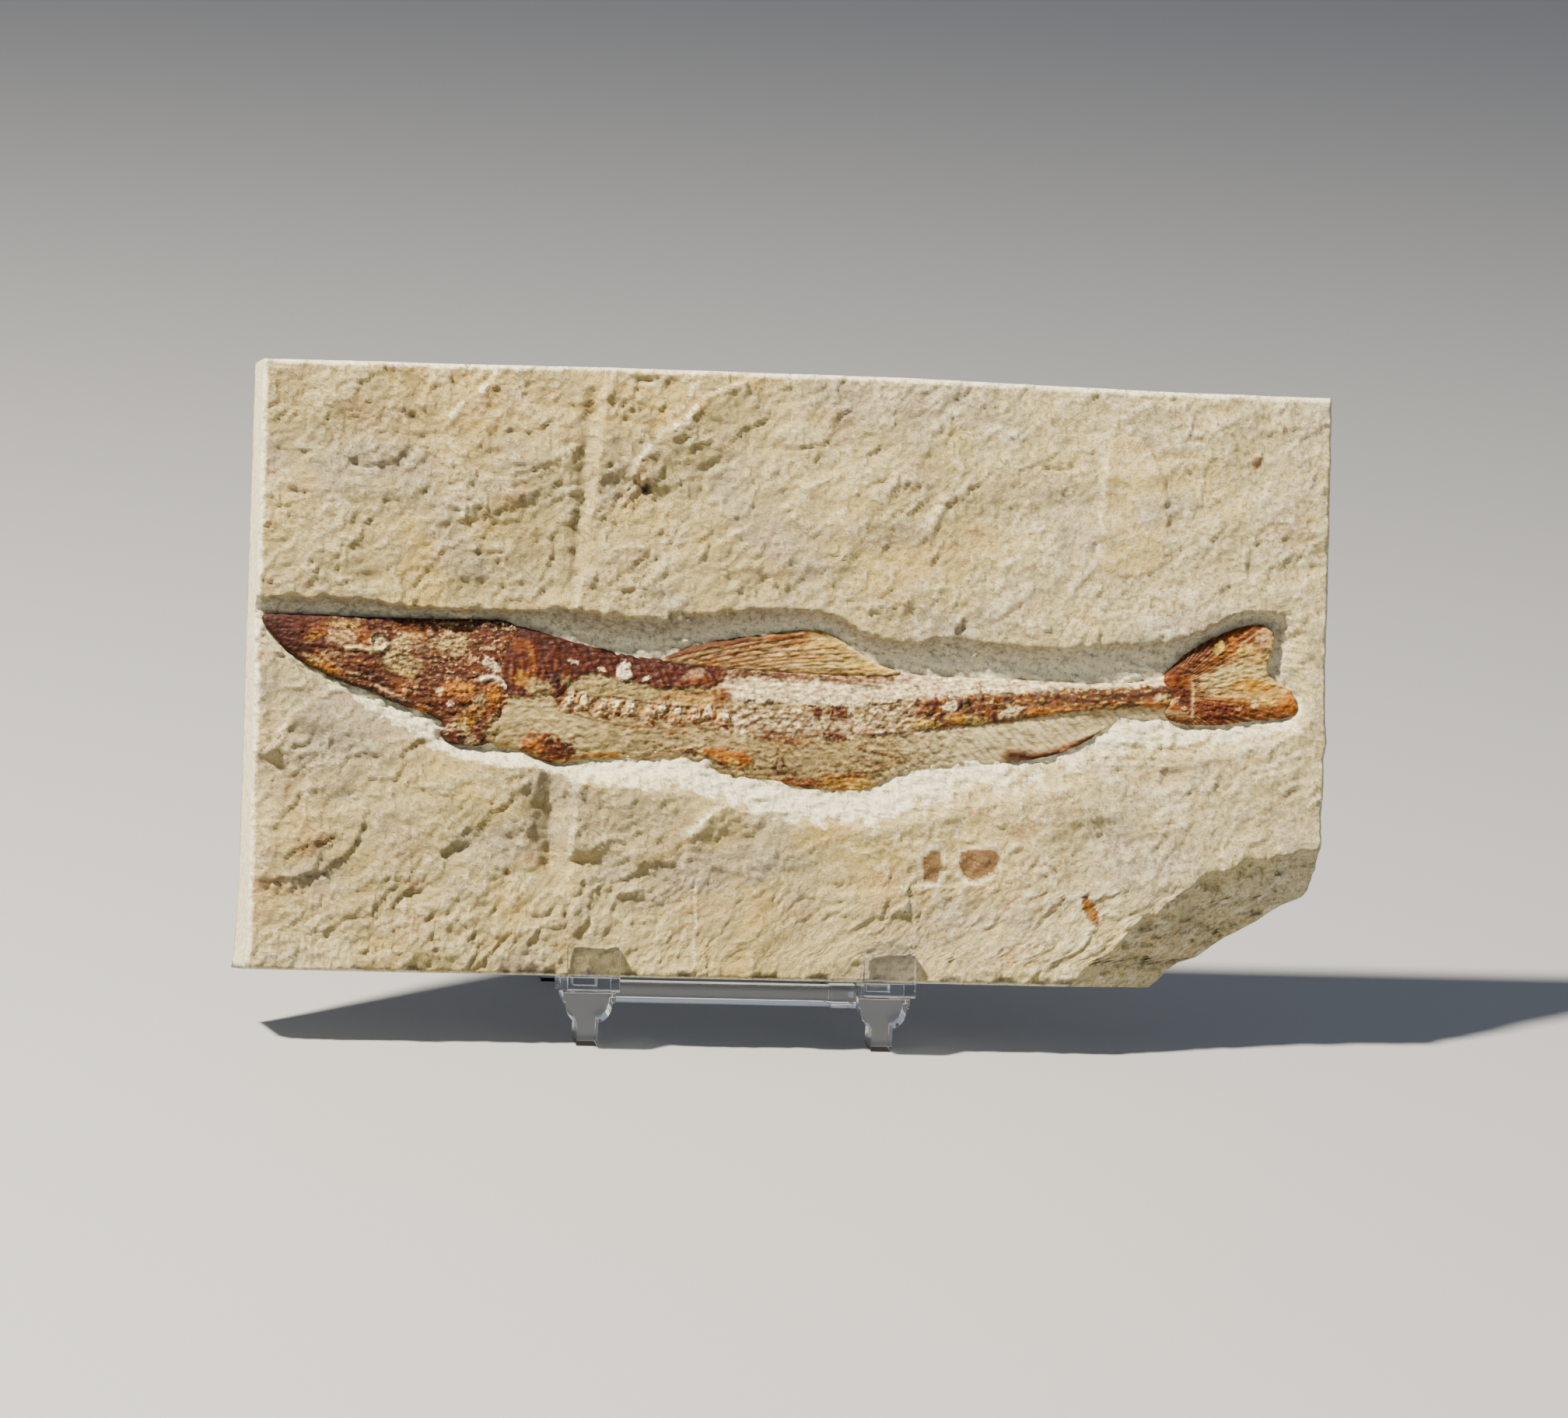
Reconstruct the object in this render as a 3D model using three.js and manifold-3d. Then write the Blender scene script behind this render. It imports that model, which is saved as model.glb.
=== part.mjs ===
// Fossil fish slab on a clear plastic display stand.
// Millimetres, +Z up, the fish faces -Y, and the origin is the middle of the footprint.
import * as THREE from 'three';
import Module from 'manifold-3d';
import { mergeVertices } from 'three/addons/utils/BufferGeometryUtils.js';

const wasm = await Module();
wasm.setup();

// Driving dimensions
const lean = THREE.MathUtils.degToRad(12);  // how far the slab leans back on its stand
const restHeight = 13.2;      // height of the slab's back lower edge above the table
const gap = 0.3;              // clearance between pieces that touch

const slabWidth = 240;
const slabThickness = 16;
const trenchDepth = 4.6;      // how far the preparator dug down round the fish
const trenchWallRun = 2;      // how far a trench wall slopes inwards on its way down
const fishRelief = 2.6;       // thickness of the fossil above the trench floor
const fishRounding = 0.8;
const cutterOverrun = 1;      // how far a cutter passes the surface it cuts

const armSpacing = 66;        // between the middles of the stand's two arms
const armOffset = -11;        // the stand is a little left of the slab's middle
const armWidth = 11.6;
const webWidth = 5.3;
const overlap = 1;            // how far the parts of one moulding run into each other
const shelfThickness = 3;
const lipHeight = 7.8;
const lipThickness = 2.2;
const backHeight = 72;
const backThickness = 3;
const cornerRadius = 2;
const footFront = -12.5;      // front feet, measured from the slab's back lower edge
const footDepth = 8;
const rearFootReach = 56;     // rear foot's far edge, measured the same way
const rearFootDepth = 7;
const rearFootHeight = 4;
const barHeight = 4.4;
const barDepth = 5;
const barRounding = 1;
const frontBarHeight = 11.7;  // middle of the front bar above the table
const rearBarHeight = 4.4;
const collarLength = 5.6;
const collarExtraDepth = 0.8;
const collarExtraHeight = 0.4;
const pegHeight = 5.4;
const pegWidth = 4.8;
const bowlTop = 9.8;          // the foot's bowl is drawn in to the peg below this height
const bowlWidth = 10.6;
const bowlFullness = 0.88;    // 1 would be as square as a box, 0 a straight funnel
const ribDepth = 4;
const strutHeight = 56;       // where the rear strut meets the back, along the slab
const strutDrop = 9;          // its lower edge meets the rib this much lower
const strutRise = 3;          // and its upper edge this much higher
const ribTop = 66;

// The slab's face, seen from the front: x from its left edge, y up from its lower edge.
const slabOutline = [
  [0, 0], [204, 0], [206.4, 2.2], [209, 5.2], [214.6, 6.9], [220.9, 11.3], [227.5, 15],
  [234.2, 19.5], [238.6, 21.4], [239.7, 24], [240, 57], [240, 133], [200, 133.2],
  [140, 134.1], [100, 134.1], [1.2, 133.4], [0, 132.2],
];

// The corner broke off along this line on the face, and the break runs back at 45 degrees.
const scarpStart = new THREE.Vector2(245, 33.2);
const scarpEnd = new THREE.Vector2(181, -2);
const breakReach = 60;

// Rim of the trench dug round the fish. It runs out through the slab's left edge.
const trenchRim = [
  [-4, 80.4], [20, 81.4], [32, 81], [58, 80.6], [68, 80.8], [94, 80], [102, 81.2], [120, 82],
  [129, 80.6], [134, 78.4], [141, 75.6], [156, 77.2], [183, 76], [200, 76.8], [206, 78],
  [211, 80.6], [216, 83.6], [221, 85.2], [229, 85], [233.4, 81], [236.6, 72], [237.4, 62],
  [234, 57], [221, 53], [208, 49.8], [191, 45.6], [174, 42.2], [157, 38.5], [139, 34.5],
  [120, 34.4], [107, 37.8], [92, 41], [71, 41.6], [59, 44], [41, 46.8], [30, 54.2],
  [19, 60], [10, 63], [-4, 67],
];

// The fish lies with its snout at the slab's left edge. Points run along the back, round the
// dorsal fin and the tail's two lobes, then forward along the belly to the jaw.
const fishOutline = [
  [0.6, 77.4], [6.6, 77.8], [38, 77.6], [58, 77.3], [64.6, 75.2], [72, 73.2], [82, 71.3],
  [90, 70.4], [94.8, 72.4], [101, 74.2], [110, 75.8], [120, 77.2], [125, 77.6], [130, 75.6],
  [134, 73], [140, 69.2], [152, 68.2], [183, 67.8], [196, 68], [202, 69], [206, 72],
  [209.6, 75.2], [214.6, 78.2], [220, 80.4], [224.7, 81.8], [227.4, 81.2], [228.6, 79],
  [228, 76.4], [225, 72], [223.4, 68.8], [232, 67.4], [234.2, 64.4], [234.2, 62],
  [231, 60.8], [221, 60.2], [208, 59.2], [194.5, 60.4], [188, 56.8], [183, 53.2],
  [175.5, 50.4], [163, 48.9], [141.5, 46], [139, 43.6], [135, 42], [127.6, 42.2],
  [112.5, 44.8], [100, 48.6], [82, 48.4], [68.3, 46.4], [59.5, 49.2], [44.4, 50.4],
  [41.9, 52.4], [39.3, 56.7], [30.5, 59.4], [19.2, 64.3], [7.8, 69.4], [4, 73.1],
  [0.6, 76.3],
];

const limestone = new THREE.MeshStandardMaterial({ color: 0xcdc0a5, roughness: 0.95 });
const fossilBone = new THREE.MeshStandardMaterial({ color: 0x8a5028, roughness: 0.75 });
const clearPlastic = new THREE.MeshStandardMaterial({
  color: 0xe8eef0, roughness: 0.05, transparent: true, opacity: 0.35,
});

function shapeFrom(points) {
  return new THREE.Shape(points.map(([x, y]) => new THREE.Vector2(x - slabWidth / 2, y)));
}

// Turns a closed geometry into a solid that can be joined and cut.
function solidFrom(geometry) {
  const bare = geometry.clone();
  bare.deleteAttribute('normal');
  bare.deleteAttribute('uv');
  const merged = mergeVertices(bare);
  return new wasm.Manifold(new wasm.Mesh({
    numProp: 3,
    vertProperties: new Float32Array(merged.attributes.position.array),
    triVerts: new Uint32Array(merged.index.array),
  }));
}

function geometryFrom(solid) {
  const mesh = solid.getMesh();
  const geometry = new THREE.BufferGeometry();
  geometry.setAttribute('position', new THREE.BufferAttribute(mesh.vertProperties, 3));
  geometry.setIndex(new THREE.BufferAttribute(mesh.triVerts, 1));
  return geometry;
}

// Extrudes a front view: the shape stands upright and its depth runs towards the viewer.
function extrudeFront(shape, back, depth, bevel = {}) {
  const options = { depth, bevelEnabled: false, steps: 1, curveSegments: 6, ...bevel };
  return new THREE.ExtrudeGeometry(shape, options).rotateX(Math.PI / 2).translate(0, back, 0);
}

// Extrudes a side view of (depth, height) points across the given width, centred on x = 0.
function extrudeSide(points, width) {
  const shape = new THREE.Shape(points.map(([y, z]) => new THREE.Vector2(y, z)));
  return new THREE.ExtrudeGeometry(shape, { depth: width, bevelEnabled: false })
    .translate(0, 0, -width / 2)
    .rotateX(Math.PI / 2)
    .rotateZ(Math.PI / 2);
}

// Moves a geometry from the slab's own upright frame to its leaning place.
function leaned(geometry) {
  return geometry.rotateX(-lean).translate(0, 0, restHeight);
}

// Where a point of the slab's upright frame lands, as (depth, height).
function leanedPoint(y, z) {
  return [
    y * Math.cos(lean) + z * Math.sin(lean),
    restHeight - y * Math.sin(lean) + z * Math.cos(lean),
  ];
}

// Slab: a sawn block of limestone, less the trench and the broken corner.
function makeSlab() {
  const block = extrudeFront(shapeFrom(slabOutline), 0, slabThickness);
  const trench = extrudeFront(shapeFrom(trenchRim), -slabThickness, cutterOverrun, {
    bevelEnabled: true,
    bevelSegments: 1,
    bevelThickness: trenchDepth,
    bevelSize: trenchWallRun,
    bevelOffset: -trenchWallRun,
  });
  return solidFrom(block).subtract(solidFrom(trench)).subtract(solidFrom(makeBreak()));
}

// The broken corner is a wedge with its edge on the scarp line and its slope running back.
function makeBreak() {
  const wedge = new THREE.Shape([
    new THREE.Vector2(-cutterOverrun, -cutterOverrun),
    new THREE.Vector2(breakReach, -cutterOverrun),
    new THREE.Vector2(breakReach, breakReach),
  ]);
  const line = new THREE.Vector3(scarpStart.x - scarpEnd.x, 0, scarpStart.y - scarpEnd.y);
  const backwards = new THREE.Vector3(0, 1, 0);
  const along = line.clone().normalize();
  const outwards = new THREE.Vector3().crossVectors(backwards, along);
  const place = new THREE.Matrix4().makeBasis(outwards, backwards, along)
    .setPosition(scarpEnd.x - slabWidth / 2, -slabThickness, scarpEnd.y);
  return new THREE.ExtrudeGeometry(wedge, { depth: line.length(), bevelEnabled: false })
    .applyMatrix4(place);
}

// Fish: one low, rounded relief that lies on the trench floor.
function makeFish() {
  const floor = -slabThickness + trenchDepth - gap;
  return extrudeFront(shapeFrom(fishOutline), floor - fishRounding, fishRelief - 2 * fishRounding, {
    bevelEnabled: true,
    bevelSegments: 2,
    bevelThickness: fishRounding,
    bevelSize: fishRounding,
    bevelOffset: -fishRounding,
  });
}

// A plate seen from the front, with its two upper corners rounded.
function plate(bottom, top, back, depth) {
  const half = armWidth / 2;
  const shape = new THREE.Shape();
  shape.moveTo(-half, bottom);
  shape.lineTo(half, bottom);
  shape.lineTo(half, top - cornerRadius);
  shape.absarc(half - cornerRadius, top - cornerRadius, cornerRadius, 0, Math.PI / 2);
  shape.absarc(cornerRadius - half, top - cornerRadius, cornerRadius, Math.PI / 2, Math.PI);
  return extrudeFront(shape, back, depth);
}

// Front foot: a body as wide as the arm, over a round-sided bowl and a narrow square peg.
function makeFrontFoot() {
  const half = armWidth / 2;
  const peg = pegWidth / 2;
  const bowl = bowlWidth / 2;
  const bulgeX = peg + (bowl - peg) * bowlFullness;
  const bulgeZ = bowlTop - (bowlTop - pegHeight) * bowlFullness;
  const bodyTop = restHeight - overlap;
  const shape = new THREE.Shape();
  shape.moveTo(-peg, 0);
  shape.lineTo(peg, 0);
  shape.lineTo(peg, pegHeight);
  shape.quadraticCurveTo(bulgeX, bulgeZ, bowl, bowlTop);
  shape.lineTo(half, bowlTop);
  shape.lineTo(half, bodyTop);
  shape.lineTo(-half, bodyTop);
  shape.lineTo(-half, bowlTop);
  shape.lineTo(-bowl, bowlTop);
  shape.quadraticCurveTo(-bulgeX, bulgeZ, -peg, pegHeight);
  return extrudeFront(shape, footFront + footDepth, footDepth);
}

// One arm of the stand: lip, shelf and back plate in one moulding with both feet.
function makeArm() {
  const shelfBottom = -gap - shelfThickness;
  const backPlate = leaned(plate(shelfBottom, backHeight, gap + backThickness, backThickness));
  const lip = leaned(plate(shelfBottom, lipHeight, -slabThickness - gap, lipThickness));
  const shelfFront = -slabThickness - gap - overlap;
  const shelfBack = gap + overlap;
  const shelf = leaned(extrudeSide([
    [shelfFront, shelfBottom],
    [shelfBack, shelfBottom],
    [shelfBack, -gap],
    [shelfFront, -gap],
  ], armWidth));
  const ribBack = gap + backThickness + ribDepth;
  const rearFootFront = rearFootReach - rearFootDepth;
  const strut = extrudeSide([
    leanedPoint(shelfBack, shelfBottom + overlap),
    leanedPoint(ribBack, shelfBottom + overlap),
    leanedPoint(ribBack, strutHeight - strutDrop),
    [rearFootFront, rearFootHeight],
    [rearFootFront, 0],
    [rearFootReach, 0],
    [rearFootReach, rearFootHeight],
    leanedPoint(ribBack, strutHeight + strutRise),
    leanedPoint(shelfBack, ribTop),
  ], webWidth);
  return [lip, shelf, strut, makeFrontFoot()]
    .reduce((arm, piece) => arm.add(solidFrom(piece)), solidFrom(backPlate));
}

// A bar with rounded edges that runs across between the arms.
function makeBar(length, depth, height) {
  const shape = new THREE.Shape();
  const y = depth / 2 - barRounding;
  const z = height / 2 - barRounding;
  shape.absarc(y, -z, barRounding, -Math.PI / 2, 0);
  shape.absarc(y, z, barRounding, 0, Math.PI / 2);
  shape.absarc(-y, z, barRounding, Math.PI / 2, Math.PI);
  shape.absarc(-y, -z, barRounding, Math.PI, Math.PI * 1.5);
  return new THREE.ExtrudeGeometry(shape, { depth: length, bevelEnabled: false, curveSegments: 4 })
    .translate(0, 0, -length / 2)
    .rotateX(Math.PI / 2)
    .rotateZ(Math.PI / 2);
}

function addPiece(group, name, geometry, material) {
  const mesh = new THREE.Mesh(geometry, material.clone());
  mesh.name = name;
  group.add(mesh);
  return mesh;
}

const slabGroup = new THREE.Group();
slabGroup.position.z = restHeight;
slabGroup.rotation.x = -lean;
addPiece(slabGroup, 'limestone_slab', geometryFrom(makeSlab()), limestone);
addPiece(slabGroup, 'fossil_fish', makeFish(), fossilBone);

const standGroup = new THREE.Group();
standGroup.position.x = armOffset;
const leftArm = addPiece(standGroup, 'stand_left_arm', geometryFrom(makeArm()), clearPlastic);
const rightArm = addPiece(standGroup, 'stand_right_arm', geometryFrom(makeArm()), clearPlastic);
leftArm.position.x = -armSpacing / 2;
rightArm.position.x = armSpacing / 2;

// The front bar runs between the two bodies; its right end wears a thicker collar.
const frontSpan = armSpacing - armWidth - 2 * gap;
const collar = makeBar(collarLength, barDepth + collarExtraDepth, barHeight + collarExtraHeight)
  .translate(frontSpan / 2 - collarLength / 2, 0, 0);
const frontBar = addPiece(
  standGroup,
  'stand_front_bar',
  geometryFrom(solidFrom(makeBar(frontSpan, barDepth, barHeight)).add(solidFrom(collar))),
  clearPlastic,
);
frontBar.position.set(0, footFront + footDepth / 2, frontBarHeight);

// The rear bar ties the two rear struts together just above their feet.
const rearSpan = armSpacing - webWidth - 2 * gap;
const rearBar = addPiece(
  standGroup, 'stand_rear_bar', makeBar(rearSpan, barDepth, barHeight), clearPlastic);
rearBar.position.set(0, rearFootReach - rearFootDepth / 2, rearBarHeight);

// The whole object, centred over its footprint.
const fossilOnStand = new THREE.Group();
fossilOnStand.name = 'fossil_fish_on_stand';
fossilOnStand.add(slabGroup, standGroup);
fossilOnStand.updateMatrixWorld(true);
const extent = new THREE.Box3().setFromObject(fossilOnStand, true);
fossilOnStand.position.x = -(extent.min.x + extent.max.x) / 2;
fossilOnStand.position.y = -(extent.min.y + extent.max.y) / 2;

export default fossilOnStand;
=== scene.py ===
# Fossil fish slab on a clear plastic stand.
# Metres, +Z up, the fish faces -Y, and the origin is the middle of the footprint.
import math

import bmesh
import bpy
import numpy as np
from mathutils import Matrix, Vector


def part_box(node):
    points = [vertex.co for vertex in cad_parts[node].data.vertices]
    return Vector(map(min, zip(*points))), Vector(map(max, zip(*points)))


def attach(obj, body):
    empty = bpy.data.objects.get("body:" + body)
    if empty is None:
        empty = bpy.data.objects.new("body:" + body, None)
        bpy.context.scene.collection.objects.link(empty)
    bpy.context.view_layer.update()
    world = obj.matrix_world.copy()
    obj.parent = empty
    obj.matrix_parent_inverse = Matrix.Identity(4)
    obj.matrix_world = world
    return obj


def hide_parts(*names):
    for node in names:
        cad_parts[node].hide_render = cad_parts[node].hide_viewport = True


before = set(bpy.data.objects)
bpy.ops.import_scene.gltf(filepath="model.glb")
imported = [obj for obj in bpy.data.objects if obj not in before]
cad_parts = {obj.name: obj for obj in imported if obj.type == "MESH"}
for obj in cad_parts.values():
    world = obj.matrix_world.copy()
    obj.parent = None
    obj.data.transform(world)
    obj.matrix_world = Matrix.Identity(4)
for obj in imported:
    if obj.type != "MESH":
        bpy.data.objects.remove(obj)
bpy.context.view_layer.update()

# ---------------------------------------------------------------- table, light and camera
# The stand's feet rest on a plain pale table. One broad soft lamp above and to the left grazes
# the stone's face, and a weak one on the right opens its shadows.
MM = 0.001
slab_low, slab_high = (np.array(corner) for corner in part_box("limestone_slab"))
slab_middle = (slab_low + slab_high) / 2

floor_mesh = bmesh.new()
bmesh.ops.create_grid(floor_mesh, x_segments=2, y_segments=2, size=4.0)
table_top = bpy.data.objects.new("table_top", bpy.data.meshes.new("table_top"))
floor_mesh.to_mesh(table_top.data)
floor_mesh.free()
bpy.context.scene.collection.objects.link(table_top)
table_paint = bpy.data.materials.new("pale_table")
table_paint.use_nodes = True
table_shader = table_paint.node_tree.nodes["Principled BSDF"]
table_shader.inputs["Base Color"].default_value = (0.27, 0.27, 0.27, 1)
table_shader.inputs["Roughness"].default_value = 0.6
table_top.data.materials.append(table_paint)


def add_lamp(name, place, target, size, power, colour):
    lamp = bpy.data.objects.new(name, bpy.data.lights.new(name, "AREA"))
    lamp.data.shape = "DISK"
    lamp.data.size = size
    lamp.data.energy = power
    lamp.data.color = colour
    lamp.location = place
    lamp.rotation_euler = (Vector(target) - Vector(place)).to_track_quat("-Z", "Y").to_euler()
    bpy.context.scene.collection.objects.link(lamp)


add_lamp(
    "key_lamp", (-0.93, -0.48, 1.54), slab_middle, size=0.155, power=205.0, colour=(1.0, 0.92, 0.78))
add_lamp(
    "fill_lamp", (0.9, -1.1, 0.45), slab_middle, size=0.9, power=2.4, colour=(0.86, 0.93, 1.0))

room = bpy.data.worlds.new("pale_room")
room.use_nodes = True
room.node_tree.nodes["Background"].inputs["Color"].default_value = (0.70, 0.79, 0.98, 1)
room.node_tree.nodes["Background"].inputs["Strength"].default_value = 0.37
bpy.context.scene.world = room

turn = math.radians(-9.6)      # the camera stands a little to the left
rise = math.radians(10.6)      # and looks slightly down
tilt = math.radians(3.4)       # and is held a little askew
camera_distance = 1.5
toward_camera = Vector((
    math.sin(turn) * math.cos(rise), -math.cos(turn) * math.cos(rise), math.sin(rise)))
level_right = Vector((math.cos(turn), math.sin(turn), 0))
level_up = toward_camera.cross(level_right)
camera_right = level_right * math.cos(tilt) + level_up * math.sin(tilt)
camera_up = level_up * math.cos(tilt) - level_right * math.sin(tilt)
aim = Vector((slab_middle[0] - 2.3 * MM, 0, slab_middle[2] - 5.9 * MM))
aim.y = slab_low[1] + 15.65 * MM
camera = bpy.data.objects.new("camera", bpy.data.cameras.new("camera"))
camera.data.lens = 155.6
camera.data.sensor_width = 36.0
camera.data.clip_start = 0.01
camera.matrix_world = Matrix.Translation(aim + toward_camera * camera_distance) @ Matrix((
    (camera_right.x, camera_up.x, toward_camera.x, 0),
    (camera_right.y, camera_up.y, toward_camera.y, 0),
    (camera_right.z, camera_up.z, toward_camera.z, 0),
    (0, 0, 0, 1)))
bpy.context.scene.collection.objects.link(camera)
bpy.context.scene.camera = camera

# ---------------------------------------------------------------- the limestone slab
# A block of cream limestone, sawn on its edges and split along its face. A preparator dug a
# trench round the fish down to its level, and the lower right corner has broken off.
# Places on the slab are in millimetres: u from its left edge, v up its face, and out of it.
lean = math.radians(12)
slab_height = 133.0
slab_thickness = 16.0
trench_depth = 4.4
jaw_trench_depth = 3.7         # at least this deep under the jaw
edge_wear = 1.3                # width of the rounded, whitened edges of the face
chip_depth = 3.2               # of the chips along the bottom edge
thinnest_stone = 0.8           # left behind the deepest place on the face

across = np.array([1.0, 0.0, 0.0])
upward = np.array([0.0, math.sin(lean), math.cos(lean)])
outward = np.array([0.0, -math.cos(lean), math.sin(lean)])
back_corner = np.array([
    slab_low[0], slab_low[1] + slab_thickness * MM * math.cos(lean), slab_low[2]])


def place_on_slab(u, v, out):
    """Room positions of points at (u, v), out millimetres in front of the slab's face."""
    corner = back_corner + outward * slab_thickness * MM
    return corner + MM * (np.outer(u, across) + np.outer(v, upward) + np.outer(out, outward))


def smooth(low, high, value):
    x = np.clip((value - low) / (high - low), 0, 1)
    return x * x * (3 - 2 * x)


def rough(x, y, seed):
    """Smooth random heights between about -1 and 1, one bump per unit."""
    column, row = np.floor(x).astype(np.int64), np.floor(y).astype(np.int64)
    fx, fy = x - column, y - row

    def lean_at(i, j):
        n = ((column + i) * 374761393 + (row + j) * 668265263 + seed * 974711) & 0x7FFFFFFF
        n = ((n ^ (n >> 13)) * 1274126177) & 0x7FFFFFFF
        angle = ((n ^ (n >> 16)) & 4095) * (math.tau / 4096)
        return np.cos(angle) * (fx - i) + np.sin(angle) * (fy - j)

    sx = fx * fx * fx * (fx * (fx * 6 - 15) + 10)
    sy = fy * fy * fy * (fy * (fy * 6 - 15) + 10)
    lower = lean_at(0, 0) * (1 - sx) + lean_at(1, 0) * sx
    upper = lean_at(0, 1) * (1 - sx) + lean_at(1, 1) * sx
    return 1.5 * (lower * (1 - sy) + upper * sy)


def layered(x, y, seed, layers=4):
    return sum(rough(x * 2 ** k, y * 2 ** k, seed + k) / 2 ** k for k in range(layers))


def rounded(points, closed=True, times=2):
    """Cuts the corners of an outline until it runs smoothly."""
    line = np.array(points, float)
    for _ in range(times):
        ahead = np.roll(line, -1, axis=0) if closed else line[1:]
        behind = line if closed else line[:-1]
        cut = np.stack([behind * 0.75 + ahead * 0.25, behind * 0.25 + ahead * 0.75], axis=1)
        cut = cut.reshape(-1, 2)
        line = cut if closed else np.vstack([line[:1], cut, line[-1:]])
    return line


def from_line(u, v, line):
    """Signed distance from an open line, left of its run positive, and the share run along it."""
    line = np.array(line, float)
    lengths = np.hypot(*(line[1:] - line[:-1]).T)
    starts = np.concatenate([[0], np.cumsum(lengths)])
    nearest = np.full(u.shape, 1e9)
    signed = np.full(u.shape, 1e9)
    share = np.zeros(u.shape)
    for a, b, length, start in zip(line[:-1], line[1:], lengths, starts):
        du, dv = u - a[0], v - a[1]
        run = (b - a) / length
        t = np.clip(du * run[0] + dv * run[1], 0, length)
        gap = np.hypot(du - t * run[0], dv - t * run[1])
        side = np.where(run[0] * dv - run[1] * du >= 0, 1.0, -1.0)
        closer = gap < nearest
        nearest = np.where(closer, gap, nearest)
        signed = np.where(closer, gap * side, signed)
        share = np.where(closer, (start + t) / starts[-1], share)
    return signed, share


def inside_depth(u, v, outline):
    """Distance in from a closed outline, negative outside it."""
    crossings = np.zeros(u.shape, bool)
    nearest = np.full(u.shape, 1e9)
    for a, b in zip(outline, np.roll(outline, -1, axis=0)):
        run = b - a
        t = np.clip(((u - a[0]) * run[0] + (v - a[1]) * run[1]) / (run @ run + 1e-12), 0, 1)
        nearest = np.minimum(nearest, np.hypot(u - a[0] - t * run[0], v - a[1] - t * run[1]))
        if a[1] != b[1]:
            crosses = (a[1] > v) != (b[1] > v)
            crossings ^= crosses & (u < a[0] + (v - a[1]) / (b[1] - a[1]) * run[0])
    return np.where(crossings, nearest, -nearest)


def taper(share, ends=0.15):
    return smooth(0, ends, share) * smooth(0, ends, 1 - share)


def crack_wander(u, v):
    """How far the cracks and ledges wander sideways from their lines."""
    return 0.5 * layered(u / 3.1, v / 3.1, 71, 2)


def ledge(u, v, line, height, reach, edge=0.5):
    """A step that stands up sharply on the left of the line and dies away from it."""
    off, share = from_line(u, v, line)
    off = off + crack_wander(u, v)
    return height * smooth(-edge, edge, off) * np.exp(-np.maximum(off, 0) / reach) * taper(share)


def groove(u, v, line, depth, width):
    off, share = from_line(u, v, line)
    off = off + 0.25 * rough(u / 1.7, v / 1.7, 72)
    return -depth * np.exp(-(off / width) ** 2) * taper(share)


def in_half_sizes(u, v, centre, radii, angle):
    """Distances from a centre along two turned axes, each measured in its half size."""
    turn_by = math.radians(angle)
    du, dv = u - centre[0], v - centre[1]
    a = (du * math.cos(turn_by) + dv * math.sin(turn_by)) / radii[0]
    b = (dv * math.cos(turn_by) - du * math.sin(turn_by)) / radii[1]
    return a, b


def mound(u, v, centre, radii, angle=0.0):
    """A soft round swelling, 1 at its middle."""
    a, b = in_half_sizes(u, v, centre, radii, angle)
    return np.exp(-(a * a + b * b))


def patch(u, v, centre, radii, angle=0.0, soft=0.3, ragged=0.25):
    """A patch with a ragged edge, 1 inside and 0 outside."""
    a, b = in_half_sizes(u, v, centre, radii, angle)
    size = min(radii)
    reach = np.hypot(a, b) + ragged * layered(u / size * 0.9, v / size * 0.9, 5, 3)
    return smooth(1 + soft, 1 - soft, reach)


# Outline of the face. Its left and bottom sides are nearly straight. The right side's rows are v
# then u, and the top's are u then v.
right_side = np.array([
    [0, 204], [2.2, 206.4], [5.2, 209], [6.9, 214.6], [11.3, 220.9], [15, 227.5], [19.5, 234.2],
    [21.4, 238.6], [24, 239.7], [33, 239.9], [52, 240.0], [56, 240.6], [60, 240.1], [133, 240]])
top_side = np.array([
    [0, 133.2], [60, 133.8], [100, 134.1], [140, 134.1], [180, 133.5], [200, 133.1], [240, 133]])

# The rim of the trench, and the fish's own outline inside it. The fish's pieces share its named runs.
trench_rim = rounded([
    [-8, 81.2], [5, 81.4], [19, 82.0], [32, 80.4], [44, 79.7], [57, 79.9], [66, 81.2],
    [71, 80.2], [82, 79.6], [93, 80.0], [102, 81.4], [112, 82.3], [122, 82.1], [129, 80.8],
    [134, 78.2], [140, 75.4], [149, 76.2], [156, 77.7], [162, 75.8], [174, 75.2], [183, 75.9],
    [194, 76.9], [201, 76.6], [206, 77.5], [211, 79.6], [216, 82.6], [221, 84.6], [228, 84.9],
    [232, 83.2], [235, 79.4], [236.2, 73], [236.9, 66], [236.2, 60.5], [233.5, 57.0],
    [221, 53.2], [208, 50.4], [191, 45.8], [174, 42.0], [164, 39.8], [156.6, 37.4],
    [145.3, 35.3], [139, 34.0], [128, 33.7], [120, 34.1], [114, 35.6], [107, 37.6],
    [101, 39.8], [92, 41.1], [82, 41.8], [71, 41.6], [68.5, 43.2], [65, 45.0], [59.5, 45.6],
    [48, 45.7], [40, 48.6], [32, 52.9], [26, 56.6], [19, 60.6], [12, 64.2], [7, 67.0],
    [2, 69.6], [-8, 72.0]])
snout_top = [[6.6, 77.9], [19, 77.7], [38, 77.6], [50, 77.9]]
nape = [[64.6, 75.2], [72, 73.3], [82, 71.3], [90, 70.3]]
rear_back = [[152, 68.3], [170, 68.2], [183, 67.9], [196, 68.0], [202, 69.0]]
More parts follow.
